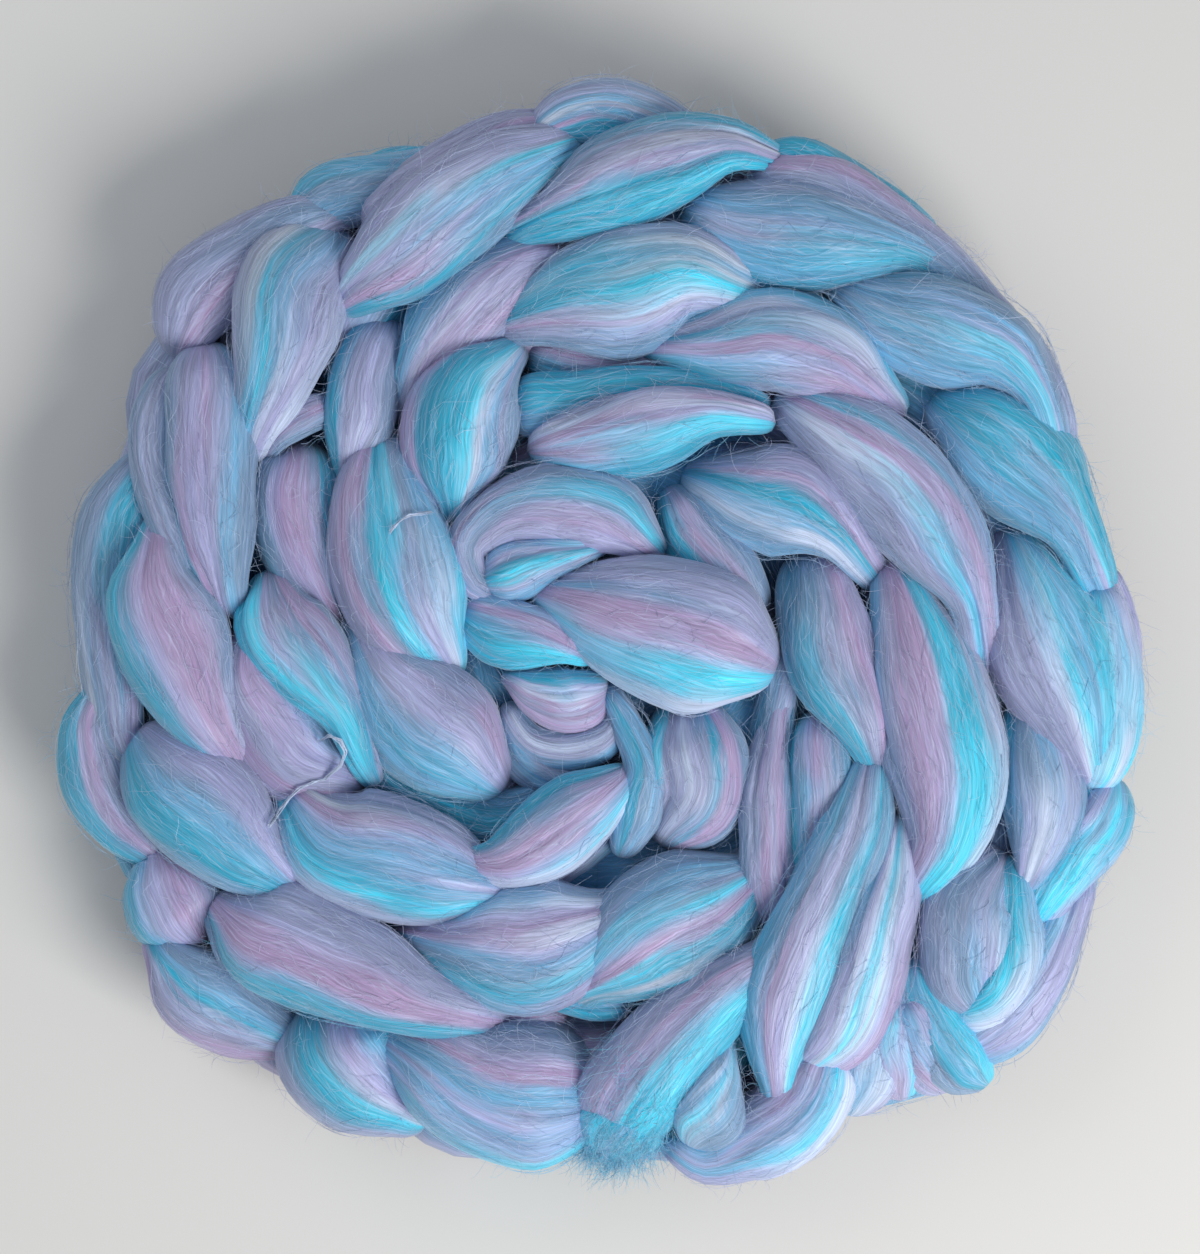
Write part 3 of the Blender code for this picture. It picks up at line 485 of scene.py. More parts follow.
class Piece:
    """One mesh being gathered: legs, wedges of the core and loose fibres of one stretch of the coil."""

    def __init__(self, name):
        self.name = name
        self.points, self.faces, self.dyes, self.others, self.fibres, self.uvs = [], [], [], [], [], []
        self.count = 0
        self.legs = []
        self.loose = []

    def add(self, points, faces, dyes, others, fibres, uvs):
        """faces is a list of index arrays, and uvs the places of their corners, in the same shapes."""
        gathered = (self.points, self.dyes, self.others, self.fibres)
        for kind, values in zip(gathered, (points, dyes, others, fibres)):
            kind.append(values.reshape(-1, 3))
        self.faces += [corners + self.count for corners in faces]
        self.uvs += uvs
        self.count += len(self.points[-1])

    def finish(self, material, heights):
        mesh = bpy.data.meshes.new(self.name)
        points = np.concatenate(self.points)
        # Painted shade: points lying below the mean height round them get darker, richer dye, for the shade
        # between the legs.
        painted_shade = smooth((heights.at(heights.mean, points) - points[:, 2]) / PAINTED_SHADE_DEPTH)[:, None]
        corners = np.concatenate([f.reshape(-1) for f in self.faces])
        sizes = np.concatenate([np.full(len(f), f.shape[1]) for f in self.faces])
        mesh.vertices.add(len(points))
        fill(mesh.vertices, "co", points * MM)
        mesh.loops.add(len(corners))
        fill(mesh.loops, "vertex_index", corners, np.int32)
        mesh.polygons.add(len(sizes))
        fill(mesh.polygons, "loop_start", np.cumsum(sizes) - sizes, np.int32)
        mesh.update(calc_edges=True)
        places = mesh.uv_layers.new(name="OFBake")
        fill(places.data, "uv", np.concatenate([uvs.reshape(-1, 2) for uvs in self.uvs]))
        for name, gathered in (("dye", self.dyes), ("other_dye", self.others)):
            dye = mesh.attributes.new(name, "FLOAT_COLOR", "POINT")
            colours = np.concatenate(gathered)
            # The painted shade darkens and deepens both dyes here.
            colours = colours ** (1 + PAINTED_SHADE_RICHNESS * painted_shade) * (1 - PAINTED_SHADE_STRENGTH * painted_shade)
            fill(dye.data, "color", np.hstack([colours, np.ones((len(colours), 1))]))
        fibre = mesh.attributes.new("fibre", "FLOAT_VECTOR", "POINT")
        fill(fibre.data, "vector", np.concatenate(self.fibres))
        mesh.validate()
        mesh.shade_smooth()
        obj = bpy.data.objects.new(self.name, mesh)
        bpy.context.scene.collection.objects.link(obj)
        obj.data.materials.append(material)
        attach(obj, "root")
        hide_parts("braid")


class HeightMap:
    """The height of the coil over its plan, and its mean round about each place."""

    def __init__(self, clouds):
        points = np.concatenate(clouds)
        self.low = points[:, :2].min(0) - MAP_EDGE * MAP_CELL
        cells = ((points[:, :2] - self.low) / MAP_CELL).astype(int)
        self.top = np.zeros(cells.max(0) + 1 + MAP_EDGE)
        np.maximum.at(self.top, (cells[:, 0], cells[:, 1]), points[:, 2])
        reach = int(PAINTED_SHADE_REACH / MAP_CELL)
        mean = self.top
        for _ in range(2):
            for axis in (0, 1):
                mean = sum(np.roll(mean, step, axis) for step in range(-reach, reach + 1)) / (2 * reach + 1)
        self.mean = mean

    def at(self, grid, points):
        """What a grid over the plan holds at the points."""
        cells = ((points[..., :2] - self.low) / MAP_CELL).astype(int)
        cells = np.clip(cells, 0, np.array(grid.shape) - 1)
        return grid[cells[..., 0], cells[..., 1]]

    def above(self, points):
        """The top of the wool there or just beside."""
        beside = [np.roll(self.top, step, axis) for axis in (0, 1) for step in (-1, 1)]
        return self.at(np.max([self.top, *beside], axis=0), points)


def side_angles(sides, seam_up):
    """Angles round a leg, closest together on the side that shows, starting at the seam."""
    hidden = int(sides * (1 - TOP_SHARE))
    angles = [np.linspace(low * math.pi, high * math.pi, count, endpoint=False)
              for (low, high), count in ((FINE_SIDES, sides - hidden), (COARSE_SIDES, hidden))]
    angles = np.concatenate(angles)
    seam = SEAM * math.pi
    order = np.argsort((angles - seam) % (2 * math.pi))
    angles = (angles[order] - seam) % (2 * math.pi) + seam - 2 * math.pi
    return angles + (math.pi if seam_up else 0)


def add_leg(piece, leg, seed, layer, cell, seam_up=False):
    """Adds one leg's surface, in its cell (left, low, right, high) of the piece's bake map."""
    sides, stations = layer
    even = np.linspace(0, 1, stations + 1)
    t = EVEN_STATIONS * even + (1 - EVEN_STATIONS) * (0.5 - 0.5 * np.cos(math.pi * even))
    t = t[:, None] * np.ones(sides)
    angle = side_angles(sides, seam_up)[None, :] * np.ones((stations + 1, 1))
    twist = leg.twist or np.random.default_rng(seed).uniform(-TWIST, TWIST)
    wide, fine = WIDE_BEND, FINE_BEND
    bend = wide.amount * (noise(t * wide.waves, seed * wide.turns, seed + 5) - 0.5)
    bend += fine.amount * (noise(t * fine.waves, angle * fine.turns, seed + 6) - 0.5)
    strand = angle + twist * (t - 0.5) + bend  # the same all along one fibre
    _, along, _ = along_leg(leg, t)
    around = strand * widest(leg) / 2
    sink = np.zeros_like(t)
    for number, crease in enumerate(CREASES):
        wander = noise(around / crease.clump, along / (crease.clump * CREASE_LENGTH), seed + 20 + number)
        sink += crease.depth * np.exp(-np.abs(2 * wander - 1) / crease.sharpness / 2)
    lean = 0.5 + 0.5 * np.cos(strand)
    sink += np.where(np.sin(strand) > 0, fold_sink(leg, lean, t), 0)
    sink += LUMP * (noise(around / LUMP_WIDTH, along / LUMP_LENGTH, seed + 30) - 0.5) * 2
    points = skin(leg, t, angle, lift=PLUMPNESS - sink)
    uneven = noise(around / REST_WIDTH, along / REST_LENGTH, seed + 31)
    points[..., 2] = np.maximum(points[..., 2], REST + REST_LUMP * uneven)
    dyes = stripe_dye(leg, lean, t, seed + STRIPE_SEED)
    others = companion_dye(leg, lean, t, seed + STRIPE_SEED)
    fibres = np.stack([around, along, np.full_like(t, seed * FIBRE_LAYER)], -1)

    row, column = np.arange(stations + 1)[:, None], np.arange(sides + 1)
    index = row * sides + column % sides
    quads = cells_of(index[..., None])[..., 0]
    left, base, right, top = cell
    u = left + (right - left) * row / stations
    v = base + (top - base) * column / sides
    quad_uvs = cells_of(np.stack(np.broadcast_arrays(u, v), -1))

    # A fan of triangles closes each end.
    tip = np.full(sides, index.size - stations - 1)
    near_fan = np.stack([index[0, 1:], index[0, :-1], tip], -1)
    far_fan = np.stack([index[-1, :-1], index[-1, 1:], tip + 1], -1)
    near_uvs, far_uvs = (np.broadcast_to(np.array([x, base]), (sides, 3, 2)) for x in (left, right))
    tips = [points[0].mean(0), points[-1].mean(0)]
    points = np.concatenate([points.reshape(-1, 3), tips])
    dyes, others, fibres = (np.concatenate([values.reshape(-1, 3), values[0, :1], values[-1, :1]])
                            for values in (dyes, others, fibres))
    piece.add(points, [quads, near_fan, far_fan], dyes, others, fibres, [quad_uvs, near_uvs, far_uvs])


# Loose fibres. Places are shares of the leg's length, angles round it are in radians, the rest in mm.
LOOSE_SIDES, LOOSE_KNOTS = 3, 6
LOOSE_TAPER = (1, 0.9, 0.45)  # at the root, the middle and the tip
LOOSE_FLOOR = 0.25  # lowest height
STRAYS, FUZZ = 52, 140  # on a leg of ordinary size
STRAY_RADIUS, FUZZ_RADIUS = 0.060, 0.050
UNEVEN_RADIUS = (0.7, 1.25)  # from the thinnest to the thickest, as shares of that
ORDINARY = 30.0 * 75.0  # width times length, mm2
RIM_LOOSE, BED_LOOSE = 1.15, 0.35  # how many of them the legs at the rim have, and those of the bed there
PALE = (0.2, 0.9)  # how far from the dye of the leg to that of the silk
WEAVING = 0.35  # how uneven a fibre's curl is, as a share of it
LEG_ENDS = (0.02, 0.98)  # past which no fibre lies

# Strays lie along the leg.
STRAY_START, STRAY_SPAN = (0.06, 0.7), (0.10, 0.30)
STRAY_PAST, STRAY_SLANT, STRAY_SWAY = 0.1, 0.24, 0.10  # the first is how far past level they lie
STRAY_LIFT, STRAY_ARCH = 0.25, (0.1, 0.9)

# Fuzz stands off it.
FUZZ_PLACE, FUZZ_PAST, FUZZ_ROOT = (0.06, 0.94), 0.25, -0.3
FUZZ_OUT, FUZZ_SPLAY = (0.3, 1.2), 0.45  # against one along the leg
FUZZ_LENGTH, FUZZ_CURL = (3, 9), 0.34

# The frayed tip of the loose end, on two legs: the share of each that it covers.
FRAY_SHARES = {"tail": 0.36, "tail_tip": 0.70}
FRAY, FRAY_SEED = 900, 77  # fibres on each
FRAY_CROWDING = 1.9  # the power by which roots crowd to the end
FRAY_PAST, FRAY_ROOT = 0.3, (-0.8, 0.3)
FRAY_SPLAY, FRAY_CLIMB = 0.50, (-0.12, 0.14)  # radians, and the climb's middle and its spread
FRAY_LENGTH, FRAY_LONGER, FRAY_FEW = 4, 8, 1.8  # the least, what is added at most, and how few get much of it
FRAY_CURL, FRAY_RADIUS = 0.42, (0.04, 0.08)
FRAY_DYES, FRAY_PALE = "TCCC", (0.1, 0.8)

# Pale threads over the legs: the leg whose piece holds each, and the places in the plan that it passes.
THREADS = (
    ("second_04", ((-93, -53), (-89, -46), (-84, -42), (-78, -40))),
    ("second_04", ((-78, -40), (-73, -36), (-72, -31), (-76, -28), (-80, -30))),
    ("inner_08", ((-60, 27), (-58, 30), (-54, 32), (-49, 33))),
)
THREAD_SEED, THREAD_FIBRES = 5, 8
THREAD_RADIUS, THREAD_LIFT, THREAD_SPREAD = 0.16, 0.5, 0.35

Loose = namedtuple("Loose", "paths radii dyes")


def paler(dyes, pale):
    """The dyes, each that far towards the silk's."""
    return dyes * (1 - pale) + DYE_LINEAR["W"] * pale


def fly_paths(starts, headings, lengths, curl, wander):
    """Curving paths of loose fibres from their starts, as (fibres, knots, 3)."""
    count = len(starts)
    step = lengths / (LOOSE_KNOTS - 1)
    heading = unit(headings)
    axis = unit(wander.normal(size=(count, 3)))
    bend = wander.normal(0, curl, size=(count, 1))
    paths = [starts]
    for _ in range(LOOSE_KNOTS - 1):
        weaving = wander.normal(0, curl * WEAVING, size=(count, 3))
        heading = unit(heading + np.cross(axis, heading) * bend + weaving)
        paths.append(paths[-1] + heading * step[:, None])
    return np.stack(paths, 1)


def stray_fibres(leg, count, wander):
    """Fibres that lie along the leg just clear of its surface, at a slight slant to the rest."""
    t0 = wander.uniform(*STRAY_START, count)
    span = wander.uniform(*STRAY_SPAN, count)
    angle = wander.uniform(-STRAY_PAST, math.pi + STRAY_PAST, count)
    slant = wander.normal(0, STRAY_SLANT, count)
    sway = wander.normal(0, STRAY_SWAY, count)
    k = np.linspace(0, 1, LOOSE_KNOTS)[None, :]
    t = np.clip(t0[:, None] + span[:, None] * k, *LEG_ENDS)
    angles = angle[:, None] + slant[:, None] * (k - 0.5) + sway[:, None] * np.sin(2 * math.pi * k)
    lift = STRAY_LIFT + wander.uniform(*STRAY_ARCH, count)[:, None] * np.sin(math.pi * k)
    return skin(leg, t, angles, lift), t0 + span / 2, angle


def fuzz_fibres(leg, count, wander):
    """Fibres that stand away from the leg's surface, more along it than out from it."""
    t = wander.uniform(*FUZZ_PLACE, count)
    angle = wander.uniform(-FUZZ_PAST, math.pi + FUZZ_PAST, count)
    start = skin(leg, t, angle, np.full(count, FUZZ_ROOT))
    out = unit(skin(leg, t, angle, np.ones(count)) - start)
    _, ahead = frame_at(leg, t)
    way = np.where(wander.random(count) < 0.5, 1, -1)[:, None]
    heading = ahead * way + out * wander.uniform(*FUZZ_OUT, count)[:, None]
    heading += wander.normal(0, FUZZ_SPLAY, (count, 3))
    return fly_paths(start, heading, wander.uniform(*FUZZ_LENGTH, count), FUZZ_CURL, wander), t, angle


def grow_loose(piece, leg, seed, share):
    wander = np.random.default_rng(seed + 5)
    _, _, length = along_leg(leg, np.array([1.0]))
    size = widest(leg) * length / ORDINARY * share
    for maker, amount, thick in ((stray_fibres, STRAYS, STRAY_RADIUS), (fuzz_fibres, FUZZ, FUZZ_RADIUS)):
        count = max(4, int(amount * size))
        paths, t, angle = maker(leg, count, wander)
        dyes = stripe_dye(leg, 0.5 + 0.5 * np.cos(angle), t, seed + STRIPE_SEED)
        dyes = paler(dyes, wander.uniform(*PALE, (count, 1)))
        piece.loose.append(Loose(paths, thick * wander.uniform(*UNEVEN_RADIUS, count), dyes))


def fray_tail(piece, leg, share):
    """The short frizzy tip of the loose end, over the last share of the leg."""
    wander = np.random.default_rng(FRAY_SEED)
    roots = LEG_ENDS[1] - share * wander.random(FRAY) ** FRAY_CROWDING
    angle = wander.uniform(-FRAY_PAST, math.pi + FRAY_PAST, FRAY)
    start = skin(leg, roots, angle, wander.uniform(*FRAY_ROOT, FRAY))
    ahead = np.array(leg.knots[-1][:2], float) - np.array(leg.knots[-2][:2], float)
    bearing = math.atan2(ahead[1], ahead[0]) + wander.normal(0, FRAY_SPLAY, FRAY)
    heading = np.stack([np.cos(bearing), np.sin(bearing), wander.normal(*FRAY_CLIMB, FRAY)], -1)
    lengths = FRAY_LENGTH + FRAY_LONGER * wander.random(FRAY) ** FRAY_FEW
    paths = fly_paths(start, heading, lengths, FRAY_CURL, wander)
    dyes = np.array([DYE_LINEAR[FRAY_DYES[i]] for i in wander.integers(0, len(FRAY_DYES), FRAY)])
    dyes = paler(dyes, wander.uniform(*FRAY_PALE, (FRAY, 1)))
    piece.loose.append(Loose(paths, wander.uniform(*FRAY_RADIUS, FRAY), dyes))


def lay_thread(piece, places, heights, seed):
    """A thin bundle of silk that has worked loose and lies over the legs."""
    wander = np.random.default_rng(seed)
    places = np.array(places, float) + SHIFT
    at = np.linspace(0, len(places) - 1, LOOSE_KNOTS)
    middle = np.stack([np.interp(at, np.arange(len(places)), places[:, axis]) for axis in (0, 1)], -1)
    paths = np.zeros((THREAD_FIBRES, LOOSE_KNOTS, 3))
    paths[..., :2] = middle + wander.normal(0, THREAD_SPREAD, (THREAD_FIBRES, LOOSE_KNOTS, 2))
    paths[..., 2] = heights.above(paths) + THREAD_LIFT
    dyes = np.broadcast_to(DYE_LINEAR["W"], (THREAD_FIBRES, 3))
    piece.loose.append(Loose(paths, np.full(THREAD_FIBRES, THREAD_RADIUS), dyes))


LOOSE_CELL, LOOSE_FILL = 6, 0.7  # how much narrower than high a fibre's cell in the bake map is, and its use
LOOSE_LAYER = 3.1  # between the patterns of one loose fibre and the next


def add_loose(piece, band):
    """Adds the piece's loose fibres as thin tapered tubes, in its band (low, high) of the bake map."""
    paths, radii, dyes = (np.concatenate(parts) for parts in zip(*piece.loose))
    paths[..., 2] = np.maximum(paths[..., 2], LOOSE_FLOOR)
    count = len(paths)
    ahead = unit(np.gradient(paths, axis=1))
    helper = np.where(np.abs(ahead[..., 2:]) < 0.8, (0.0, 0.0, 1.0), (1.0, 0.0, 0.0))
    side = unit(np.cross(ahead, helper))
    top = np.cross(side, ahead)
    turn = 2 * math.pi * np.arange(LOOSE_SIDES) / LOOSE_SIDES
    taper = np.interp(np.linspace(0, 1, LOOSE_KNOTS), [0, 0.5, 1], LOOSE_TAPER)
    size = (radii[:, None] * taper)[..., None, None]
    ring = side[:, :, None] * np.cos(turn)[:, None] + top[:, :, None] * np.sin(turn)[:, None]
    points = paths[:, :, None] + ring * size
    index = np.arange(count * LOOSE_KNOTS * LOOSE_SIDES).reshape(count, LOOSE_KNOTS, LOOSE_SIDES)
    quads = cells_of(np.take(index, range(LOOSE_SIDES + 1), axis=2, mode="wrap")[..., None])[..., 0]
    caps = np.concatenate([index[:, 0, [0, 2, 1]], index[:, -1]])

    columns = max(1, math.ceil(math.sqrt(count * LOOSE_CELL)))
    rows = math.ceil(count / columns)
    cell_u, cell_v = 1 / columns, (band[1] - band[0]) / rows
    inset = (1 - LOOSE_FILL) / 2
    left = (np.arange(count) % columns) * cell_u + cell_u * inset
    low = band[0] + (np.arange(count) // columns) * cell_v + cell_v * inset
    u = left[:, None, None] + cell_u * LOOSE_FILL * np.linspace(0, 1, LOOSE_KNOTS)[:, None]
    v = low[:, None, None] + cell_v * LOOSE_FILL * np.linspace(0, 1, LOOSE_SIDES + 1)
    uvs = cells_of(np.stack(np.broadcast_arrays(u, v), -1))
    spot = np.stack([left, low], -1)[:, None, :]
    cap_uvs = np.repeat(np.concatenate([spot, spot]), 3, 1)
    tints = np.broadcast_to(dyes[:, None, None, :], points.shape)
    own = np.arange(count)[:, None, None, None] * np.array([0.0, 0.0, LOOSE_LAYER])
    piece.add(points, [quads, caps], tints, tints, np.broadcast_to(own, points.shape), [uvs, cap_uvs])


def bed_legs():
    """The legs of the lower side, two to each loop, laid in a V along the winding."""
    turns, number = 0.0, 0
    while turns < WINDING[-1].turns:
        radius = float(np.interp(turns, [w.turns for w in WINDING], [w.radius for w in WINDING]))
        bearing = math.radians(WINDING_START) - turns * 2 * math.pi
        outward = np.array([math.cos(bearing), math.sin(bearing)])
        onward = np.array([math.sin(bearing), -math.cos(bearing)])
        for side in (1, -1):
            slant = math.radians(BED_SLANT) * side
            along = (onward * math.cos(slant) + outward * math.sin(slant)) * BED_LENGTH / 2
            middle = outward * (radius + side * BED_SPREAD)
            ends = BED_WIDTH * BED_END_WIDTH
            knots = [(*(middle + along * step), width, BED_TOP - BED_END_DROP * abs(step))
                     for step, width in ((-1, ends), (0, BED_WIDTH), (1, ends))]
            yield Leg(tuple(knots), BED_STRIPES[number % len(BED_STRIPES)], 0.0)
            number += 1
        turns += BED_STEP / (2 * math.pi * radius)


def add_core(piece, sector, sectors, cell):
    """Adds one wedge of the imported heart, closed all round."""
    radius = np.linspace(CORE_HOLE, CORE_RADIUS, CORE_RINGS)[:, None]
    bearing = (sector + np.linspace(0, 1, CORE_STEPS)[None, :]) * 2 * math.pi / sectors
    x, y = radius * np.cos(bearing), radius * np.sin(bearing)
    edge = np.sqrt(np.clip(1 - (radius / CORE_RADIUS) ** CORE_SHOULDER, 0, 1))
    high = CORE_LOW + CORE_EDGE + (CORE_HIGH - CORE_LOW - CORE_EDGE) * edge
    high = high + CORE_LUMP * noise(x / CORE_CELL, y / CORE_CELL, CORE_SEED)
    low = np.full_like(x, CORE_LOW)
    points = np.concatenate([np.stack([x, y, z], -1).reshape(-1, 3) for z in (high, low)])
    grid = np.arange(CORE_RINGS * CORE_STEPS).reshape(CORE_RINGS, CORE_STEPS)
    under = grid.size
    tops = np.stack([grid[:-1, :-1], grid[1:, :-1], grid[1:, 1:], grid[:-1, 1:]], -1).reshape(-1, 4)
    bottoms = tops[:, ::-1] + under
    rim = np.concatenate([grid[:, 0][::-1], grid[0, 1:], grid[1:, -1], grid[-1, 1:-1][::-1]])
    ahead = np.roll(rim, -1)
    walls = np.stack([rim, ahead, ahead + under, rim + under], -1)
    faces = np.concatenate([tops, bottoms, walls])
    left, base, right, top = cell
    size = np.array([right - left, top - base])
    plan = (points[:, :2] / CORE_RADIUS + 1) / 2
    uvs = np.array([left, base]) + plan[faces] * size
    dyes = np.broadcast_to(DYE_LINEAR["B"], points.shape)
    around = np.arctan2(points[:, 1], points[:, 0]) * CORE_TURN
    out = np.hypot(points[:, 0], points[:, 1])
    fibres = np.stack([out, around, np.full(len(points), CORE_LAYER)], -1)
    piece.add(points, [faces], dyes, dyes, fibres, [uvs])


# How the fibres stray sideways: by how many mm, in waves of so many cells per mm across and along them.
WAVER, WAVER_CELLS = 3.2, (0.20, 0.06, 1.0)
WAVER_DETAIL, WAVER_ROUGHNESS = 2.0, 0.5
CROSSING = 0.30  # the slope of the few that lie across the rest

# Streaks along the fibres: cells per mm across them and along them, how detailed, and how far they slant.
Streak = namedtuple("Streak", "across along detail slant")
STREAKS = {
    "coarse": Streak(0.40, 0.020, 2.0, 0.0),
    "strands": Streak(1.5, 0.035, 3.0, 0.0),
    "medium": Streak(1.3, 0.040, 2.0, 0.0),
    "fine": Streak(2.7, 0.08, 1.0, 0.0),
    "one_way": Streak(2.4, 0.10, 1.0, CROSSING),
    "other_way": Streak(2.4, 0.10, 1.0, -CROSSING),
    "silk": Streak(1.8, 0.030, 1.0, 0.0),
}
STREAK_ROUGHNESS = 0.6
# What the streaks do: from which to which of their values, and from how much to how much.
OTHER_DYE = (0.38, 0.72, 0.0, 0.50)
SILK = (0.56, 0.74, 0.0, 0.26)
SILK_ACROSS = (0.57, 0.70, 0.0, 0.24)
SHADES = {
    "coarse": (0.30, 0.70, 0.92, 1.08),
    "medium": (0.32, 0.68, 0.88, 1.12),
    "fine": (0.34, 0.66, 0.85, 1.15),
}
ROUGHNESS = (0.3, 0.7, 0.64, 0.42)
GLOSS = {
    "Specular IOR Level": 0.40,
    "Sheen Weight": 0.40,
    "Sheen Roughness": 0.5,
    "Sheen Tint": (0.80, 0.90, 1.0, 1.0),
}
RELIEF_SHARES = {"medium": 1.6, "coarse": 2.0}  # heights of those streaks against the fine ones
RELIEF = {"Strength": 0.36, "Distance": 0.00035}


def wool():
    """Combed wool and silk: dye in stripes, streaked fibre by fibre, with a soft sheen along the fibres."""
    material = bpy.data.materials.new("wool_roving")
    material.use_nodes = True
    tree = material.node_tree
    shader = tree.nodes["Principled BSDF"]
    link = tree.links.new

    def node(kind, inputs=None, **settings):
        made = tree.nodes.new(kind)
        for key, value in settings.items():
            setattr(made, key, value)
        for key, value in (inputs or {}).items():
            if hasattr(value, "is_linked"):
                link(value, made.inputs[key])
            else:
                made.inputs[key].default_value = value
        return made

    def scaled(vector, factors, added=(0.0, 0.0, 0.0)):
        """The vector times the factors, plus what is added."""
        made = node("ShaderNodeVectorMath", {0: vector, 1: factors, 2: added}, operation="MULTIPLY_ADD")
        return made.outputs[0]

    def noisy(vector, detail, roughness):
        inputs = {"Vector": vector, "Scale": 1.0, "Detail": detail, "Roughness": roughness}
        return node("ShaderNodeTexNoise", inputs)

    def streaks(across, along, detail, slant):
        slanted = scaled(along_only.outputs[0], (slant, 0.0, 0.0), strayed)
        return noisy(scaled(slanted, (across, along, 1.0)), detail, STREAK_ROUGHNESS).outputs["Fac"]

    def spread(value, low, high, to_low, to_high):
        inputs = {"Value": value, "From Min": low, "From Max": high, "To Min": to_low, "To Max": to_high}
        return node("ShaderNodeMapRange", inputs, clamp=True).outputs["Result"]

    def mixed(kind, amount, first, second):
        inputs = {0: amount, 6: first, 7: second}
        return node("ShaderNodeMix", inputs, data_type="RGBA", blend_type=kind).outputs[2]

    def darkened(colour, shade):
        """The colour times a grey of that shade."""
        grey = node("ShaderNodeCombineColor", {channel: shade for channel in range(3)})
        return mixed("MULTIPLY", 1.0, colour, grey.outputs[0])

    # These dyes hold the painted shade between the legs and the painted highlights of some stripes, as well
    # as the wool's own stripes.
    dye = node("ShaderNodeAttribute", attribute_name="dye")
    other = node("ShaderNodeAttribute", attribute_name="other_dye")
    fibre = node("ShaderNodeAttribute", attribute_name="fibre")

    # The fibres waver sideways a little along the leg.
    waver = noisy(scaled(fibre.outputs["Vector"], WAVER_CELLS), WAVER_DETAIL, WAVER_ROUGHNESS)
    strayed = scaled(waver.outputs["Color"], (WAVER, 0.0, 0.0), fibre.outputs["Vector"])
    parts = node("ShaderNodeSeparateXYZ", {0: fibre.outputs["Vector"]})
    along_only = node("ShaderNodeCombineXYZ", {"X": parts.outputs["Y"]})
    streak = {name: streaks(*row) for name, row in STREAKS.items()}

    silk = (*DYE_LINEAR["W"], 1.0)
    colour = mixed("MIX", spread(streak["strands"], *OTHER_DYE), dye.outputs["Color"], other.outputs["Color"])
    colour = mixed("MIX", spread(streak["silk"], *SILK), colour, silk)
    for name in ("one_way", "other_way"):
        colour = mixed("MIX", spread(streak[name], *SILK_ACROSS), colour, silk)
    for name, shades in SHADES.items():
        colour = darkened(colour, spread(streak[name], *shades))
    link(colour, shader.inputs["Base Color"])
    link(spread(streak["fine"], *ROUGHNESS), shader.inputs["Roughness"])
    for key, value in GLOSS.items():
        shader.inputs[key].default_value = value

    relief = streak["fine"]
    for name, amount in RELIEF_SHARES.items():
        added = node("ShaderNodeMath", {0: streak[name], 1: amount, 2: relief}, operation="MULTIPLY_ADD")
        relief = added.outputs[0]
    bump = node("ShaderNodeBump", {"Height": relief, **RELIEF})
    link(bump.outputs["Normal"], shader.inputs["Normal"])
    return material


# The pieces: sectors of the outer turn and of the turns inside it, and the heart.
RIM_SECTORS, MID_SECTORS = 12, 8
RIM_RADIUS, HEART_RADIUS = 104.0, 38.0  # mm
MAP_MARGIN = 0.004  # between the cells of a bake map
LEG_SHARE = 0.9  # of a bake map that the legs take
LOOSE_BAND = (0.91, 0.995)  # of it that the loose fibres take
MAP_COLUMNS = 1.2  # columns of cells against rows
FIRST_SEED, SEED_STEP = 100, 17  # of the legs


def middle_of(leg):
    return np.mean([knot[:2] for knot in leg.knots], axis=0)


def sector_of(leg, sectors):
    middle = middle_of(leg)
    bearing = math.atan2(middle[1], middle[0]) % (2 * math.pi)
    return int(bearing / (2 * math.pi) * sectors) % sectors


def piece_name(leg):
    radius = math.hypot(*middle_of(leg))
    if radius > RIM_RADIUS:
        return f"outer_turn_{sector_of(leg, RIM_SECTORS):02d}"
    if radius > HEART_RADIUS:
        return f"inner_turn_{sector_of(leg, MID_SECTORS):02d}"
    return "heart"


def map_cells(count):
    """The places of a piece's legs in its bake map, as (left, low, right, high)."""
    columns = math.ceil(math.sqrt(count * MAP_COLUMNS))
    rows = math.ceil(count / columns)
    for index in range(count):
        left, low = (index % columns) / columns, (index // columns) / rows * LEG_SHARE
        right, high = left + 1 / columns, low + LEG_SHARE / rows
        yield (left + MAP_MARGIN, low + MAP_MARGIN, right - MAP_MARGIN, high - MAP_MARGIN)


def build_braid():
    legs = {name: Leg(knots, stripes, TWISTED.get(name, 0.0)) for name, (stripes, *knots) in PATHS.items()}
    pieces = {}
    layers = ([(leg, "top") for leg in legs.values()] + [(leg, "bed") for leg in bed_legs()]
              + [(lower_leg(leg), "lower") for name, leg in legs.items() if name not in UPPER_ONLY])
    for number, (leg, layer) in enumerate(layers):
        name = piece_name(leg)
        piece = pieces.setdefault(name, Piece(name))
        piece.legs.append((leg, layer, FIRST_SEED + number * SEED_STEP))
    for name, piece in pieces.items():
        wedge = name.startswith("inner_turn")
        cells = list(map_cells(len(piece.legs) + wedge))
        for (leg, layer, seed), cell in zip(piece.legs, cells):
            add_leg(piece, leg, seed, LAYERS[layer], cell, seam_up=layer == "bed")
            if layer == "top":
                grow_loose(piece, leg, seed, RIM_LOOSE if name.startswith("outer") else 1.0)
            elif layer == "bed" and name.startswith("outer"):
                grow_loose(piece, leg, seed, BED_LOOSE)
        if wedge:
            add_core(piece, int(name[-2:]), MID_SECTORS, cells[-1])
    heights = HeightMap([cloud for piece in pieces.values() for cloud in piece.points])
    for name, share in FRAY_SHARES.items():
        fray_tail(pieces[piece_name(legs[name])], legs[name], share)
    for number, (name, places) in enumerate(THREADS):
        lay_thread(pieces[piece_name(legs[name])], places, heights, THREAD_SEED + number)
    material = wool()
    for piece in pieces.values():
        add_loose(piece, LOOSE_BAND)
        piece.finish(material, heights)


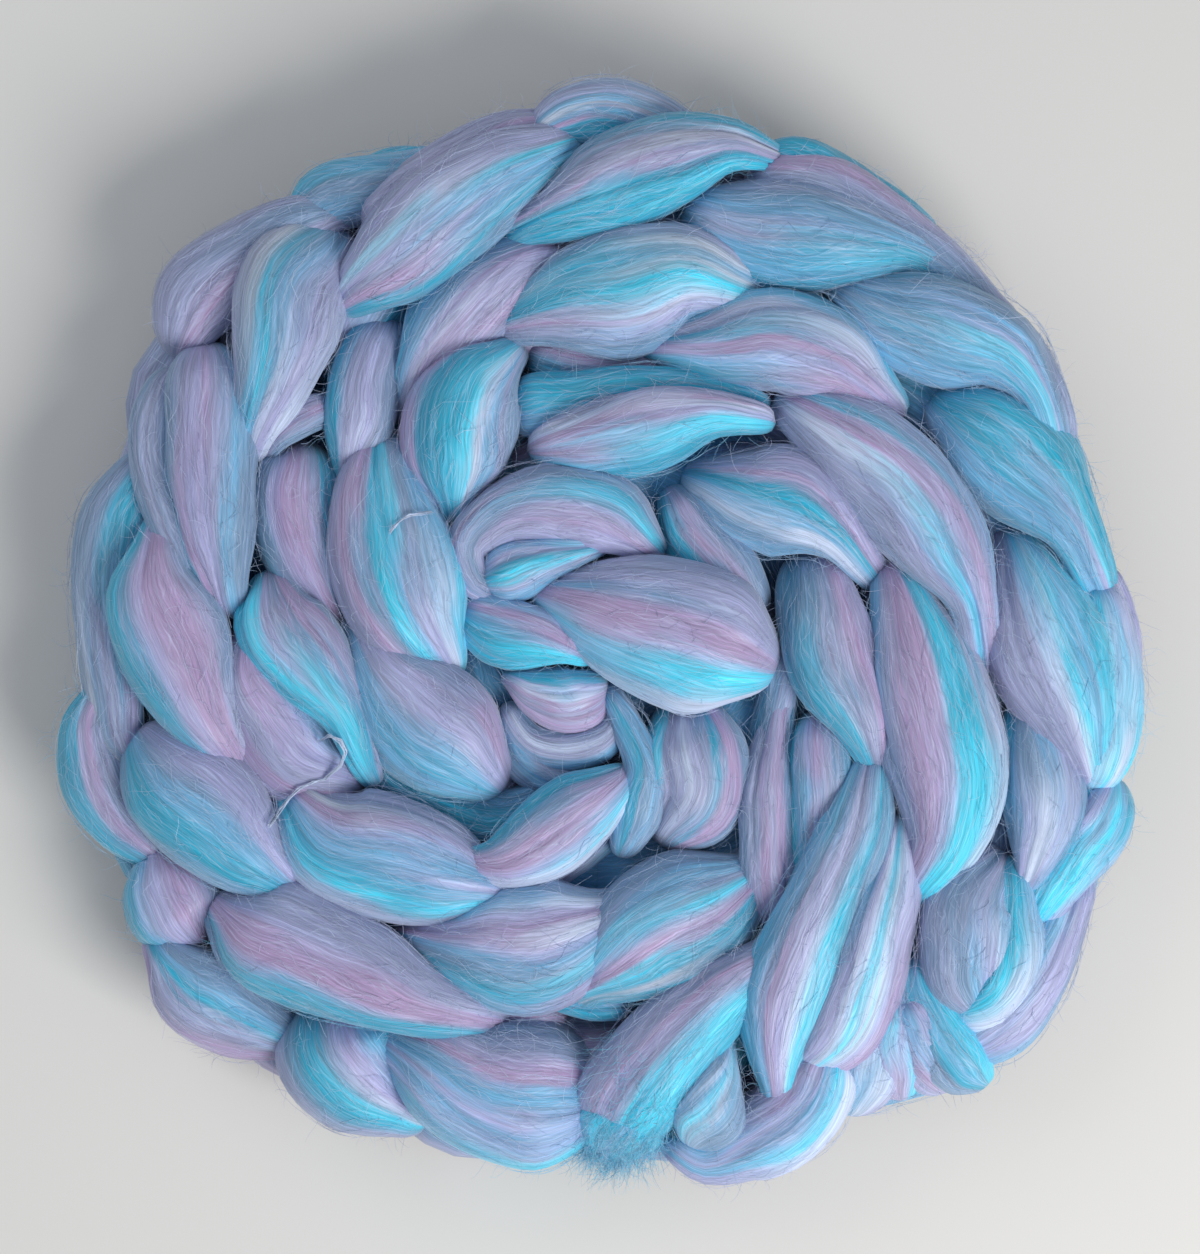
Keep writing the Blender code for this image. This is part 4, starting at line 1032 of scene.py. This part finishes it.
# The photograph looks straight down on the coil.
CAMERA_HEIGHT = 1.05
CAMERA_CENTRE = (0.0006, 0.0014)
VIEW_HEIGHT = 0.345  # of the coil's upper side, from the top of the view to its foot
VIEW_LEVEL = 0.040  # above the floor, where it is that high
FILM = 36.0  # mm


def add_camera():
    camera = bpy.data.objects.new("camera", bpy.data.cameras.new("camera"))
    camera.data.sensor_width = FILM
    camera.data.lens = FILM * (CAMERA_HEIGHT - VIEW_LEVEL) / VIEW_HEIGHT
    camera.location = (*CAMERA_CENTRE, CAMERA_HEIGHT)
    bpy.context.scene.collection.objects.link(camera)
    bpy.context.scene.camera = camera


Lamp = namedtuple("Lamp", "place aim size power colour")
LAMPS = {
    "window": Lamp((0.75, -0.75, 0.95), (0, 0, 0.02), 0.7, 16.6, (1.0, 0.98, 0.95)),
    "fill": Lamp((-0.9, 0.7, 0.9), (0, 0, 0.02), 1.2, 4.6, (0.88, 0.94, 1.0)),
}
SKY_COLOUR, SKY_STRENGTH = (0.86, 0.90, 0.96, 1.0), 0.36


def add_lights():
    for name, lamp in LAMPS.items():
        light = bpy.data.lights.new(name, "AREA")
        light.shape = "SQUARE"
        light.size = lamp.size
        light.energy = lamp.power
        light.color = lamp.colour
        obj = bpy.data.objects.new(name, light)
        obj.location = lamp.place
        toward = Vector(lamp.aim) - Vector(lamp.place)
        obj.rotation_euler = toward.to_track_quat("-Z", "Y").to_euler()
        bpy.context.scene.collection.objects.link(obj)
    world = bpy.data.worlds.new("studio")
    world.use_nodes = True
    sky = world.node_tree.nodes["Background"]
    sky.inputs["Color"].default_value = SKY_COLOUR
    sky.inputs["Strength"].default_value = SKY_STRENGTH
    bpy.context.scene.world = world


FLOOR_SIZE, FLOOR_LEVEL = 6, -0.0002  # m; just clear of the coil
FLOOR_COLOUR, FLOOR_ROUGHNESS = (0.74, 0.73, 0.71, 1.0), 0.8


def add_floor():
    bpy.ops.mesh.primitive_plane_add(size=FLOOR_SIZE, location=(0, 0, FLOOR_LEVEL))
    floor = bpy.context.object
    floor.name = "floor"
    material = bpy.data.materials.new("floor_paper")
    material.use_nodes = True
    shader = material.node_tree.nodes["Principled BSDF"]
    shader.inputs["Base Color"].default_value = FLOOR_COLOUR
    shader.inputs["Roughness"].default_value = FLOOR_ROUGHNESS
    floor.data.materials.append(material)
    floor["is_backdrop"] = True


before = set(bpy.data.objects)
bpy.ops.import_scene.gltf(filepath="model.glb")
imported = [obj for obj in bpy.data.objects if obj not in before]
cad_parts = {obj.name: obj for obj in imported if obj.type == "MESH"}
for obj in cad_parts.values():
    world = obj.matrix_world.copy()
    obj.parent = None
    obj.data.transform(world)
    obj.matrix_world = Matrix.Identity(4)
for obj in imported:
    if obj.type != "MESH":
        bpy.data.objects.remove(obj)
cad_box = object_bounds()
add_camera()
add_lights()
add_floor()
build_braid()
bpy.context.scene.view_settings.view_transform = "Standard"


def corners(box):
    return [[float(x) for x in corner] for corner in box]


{"cad": corners(cad_box), "visual": corners(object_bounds())}
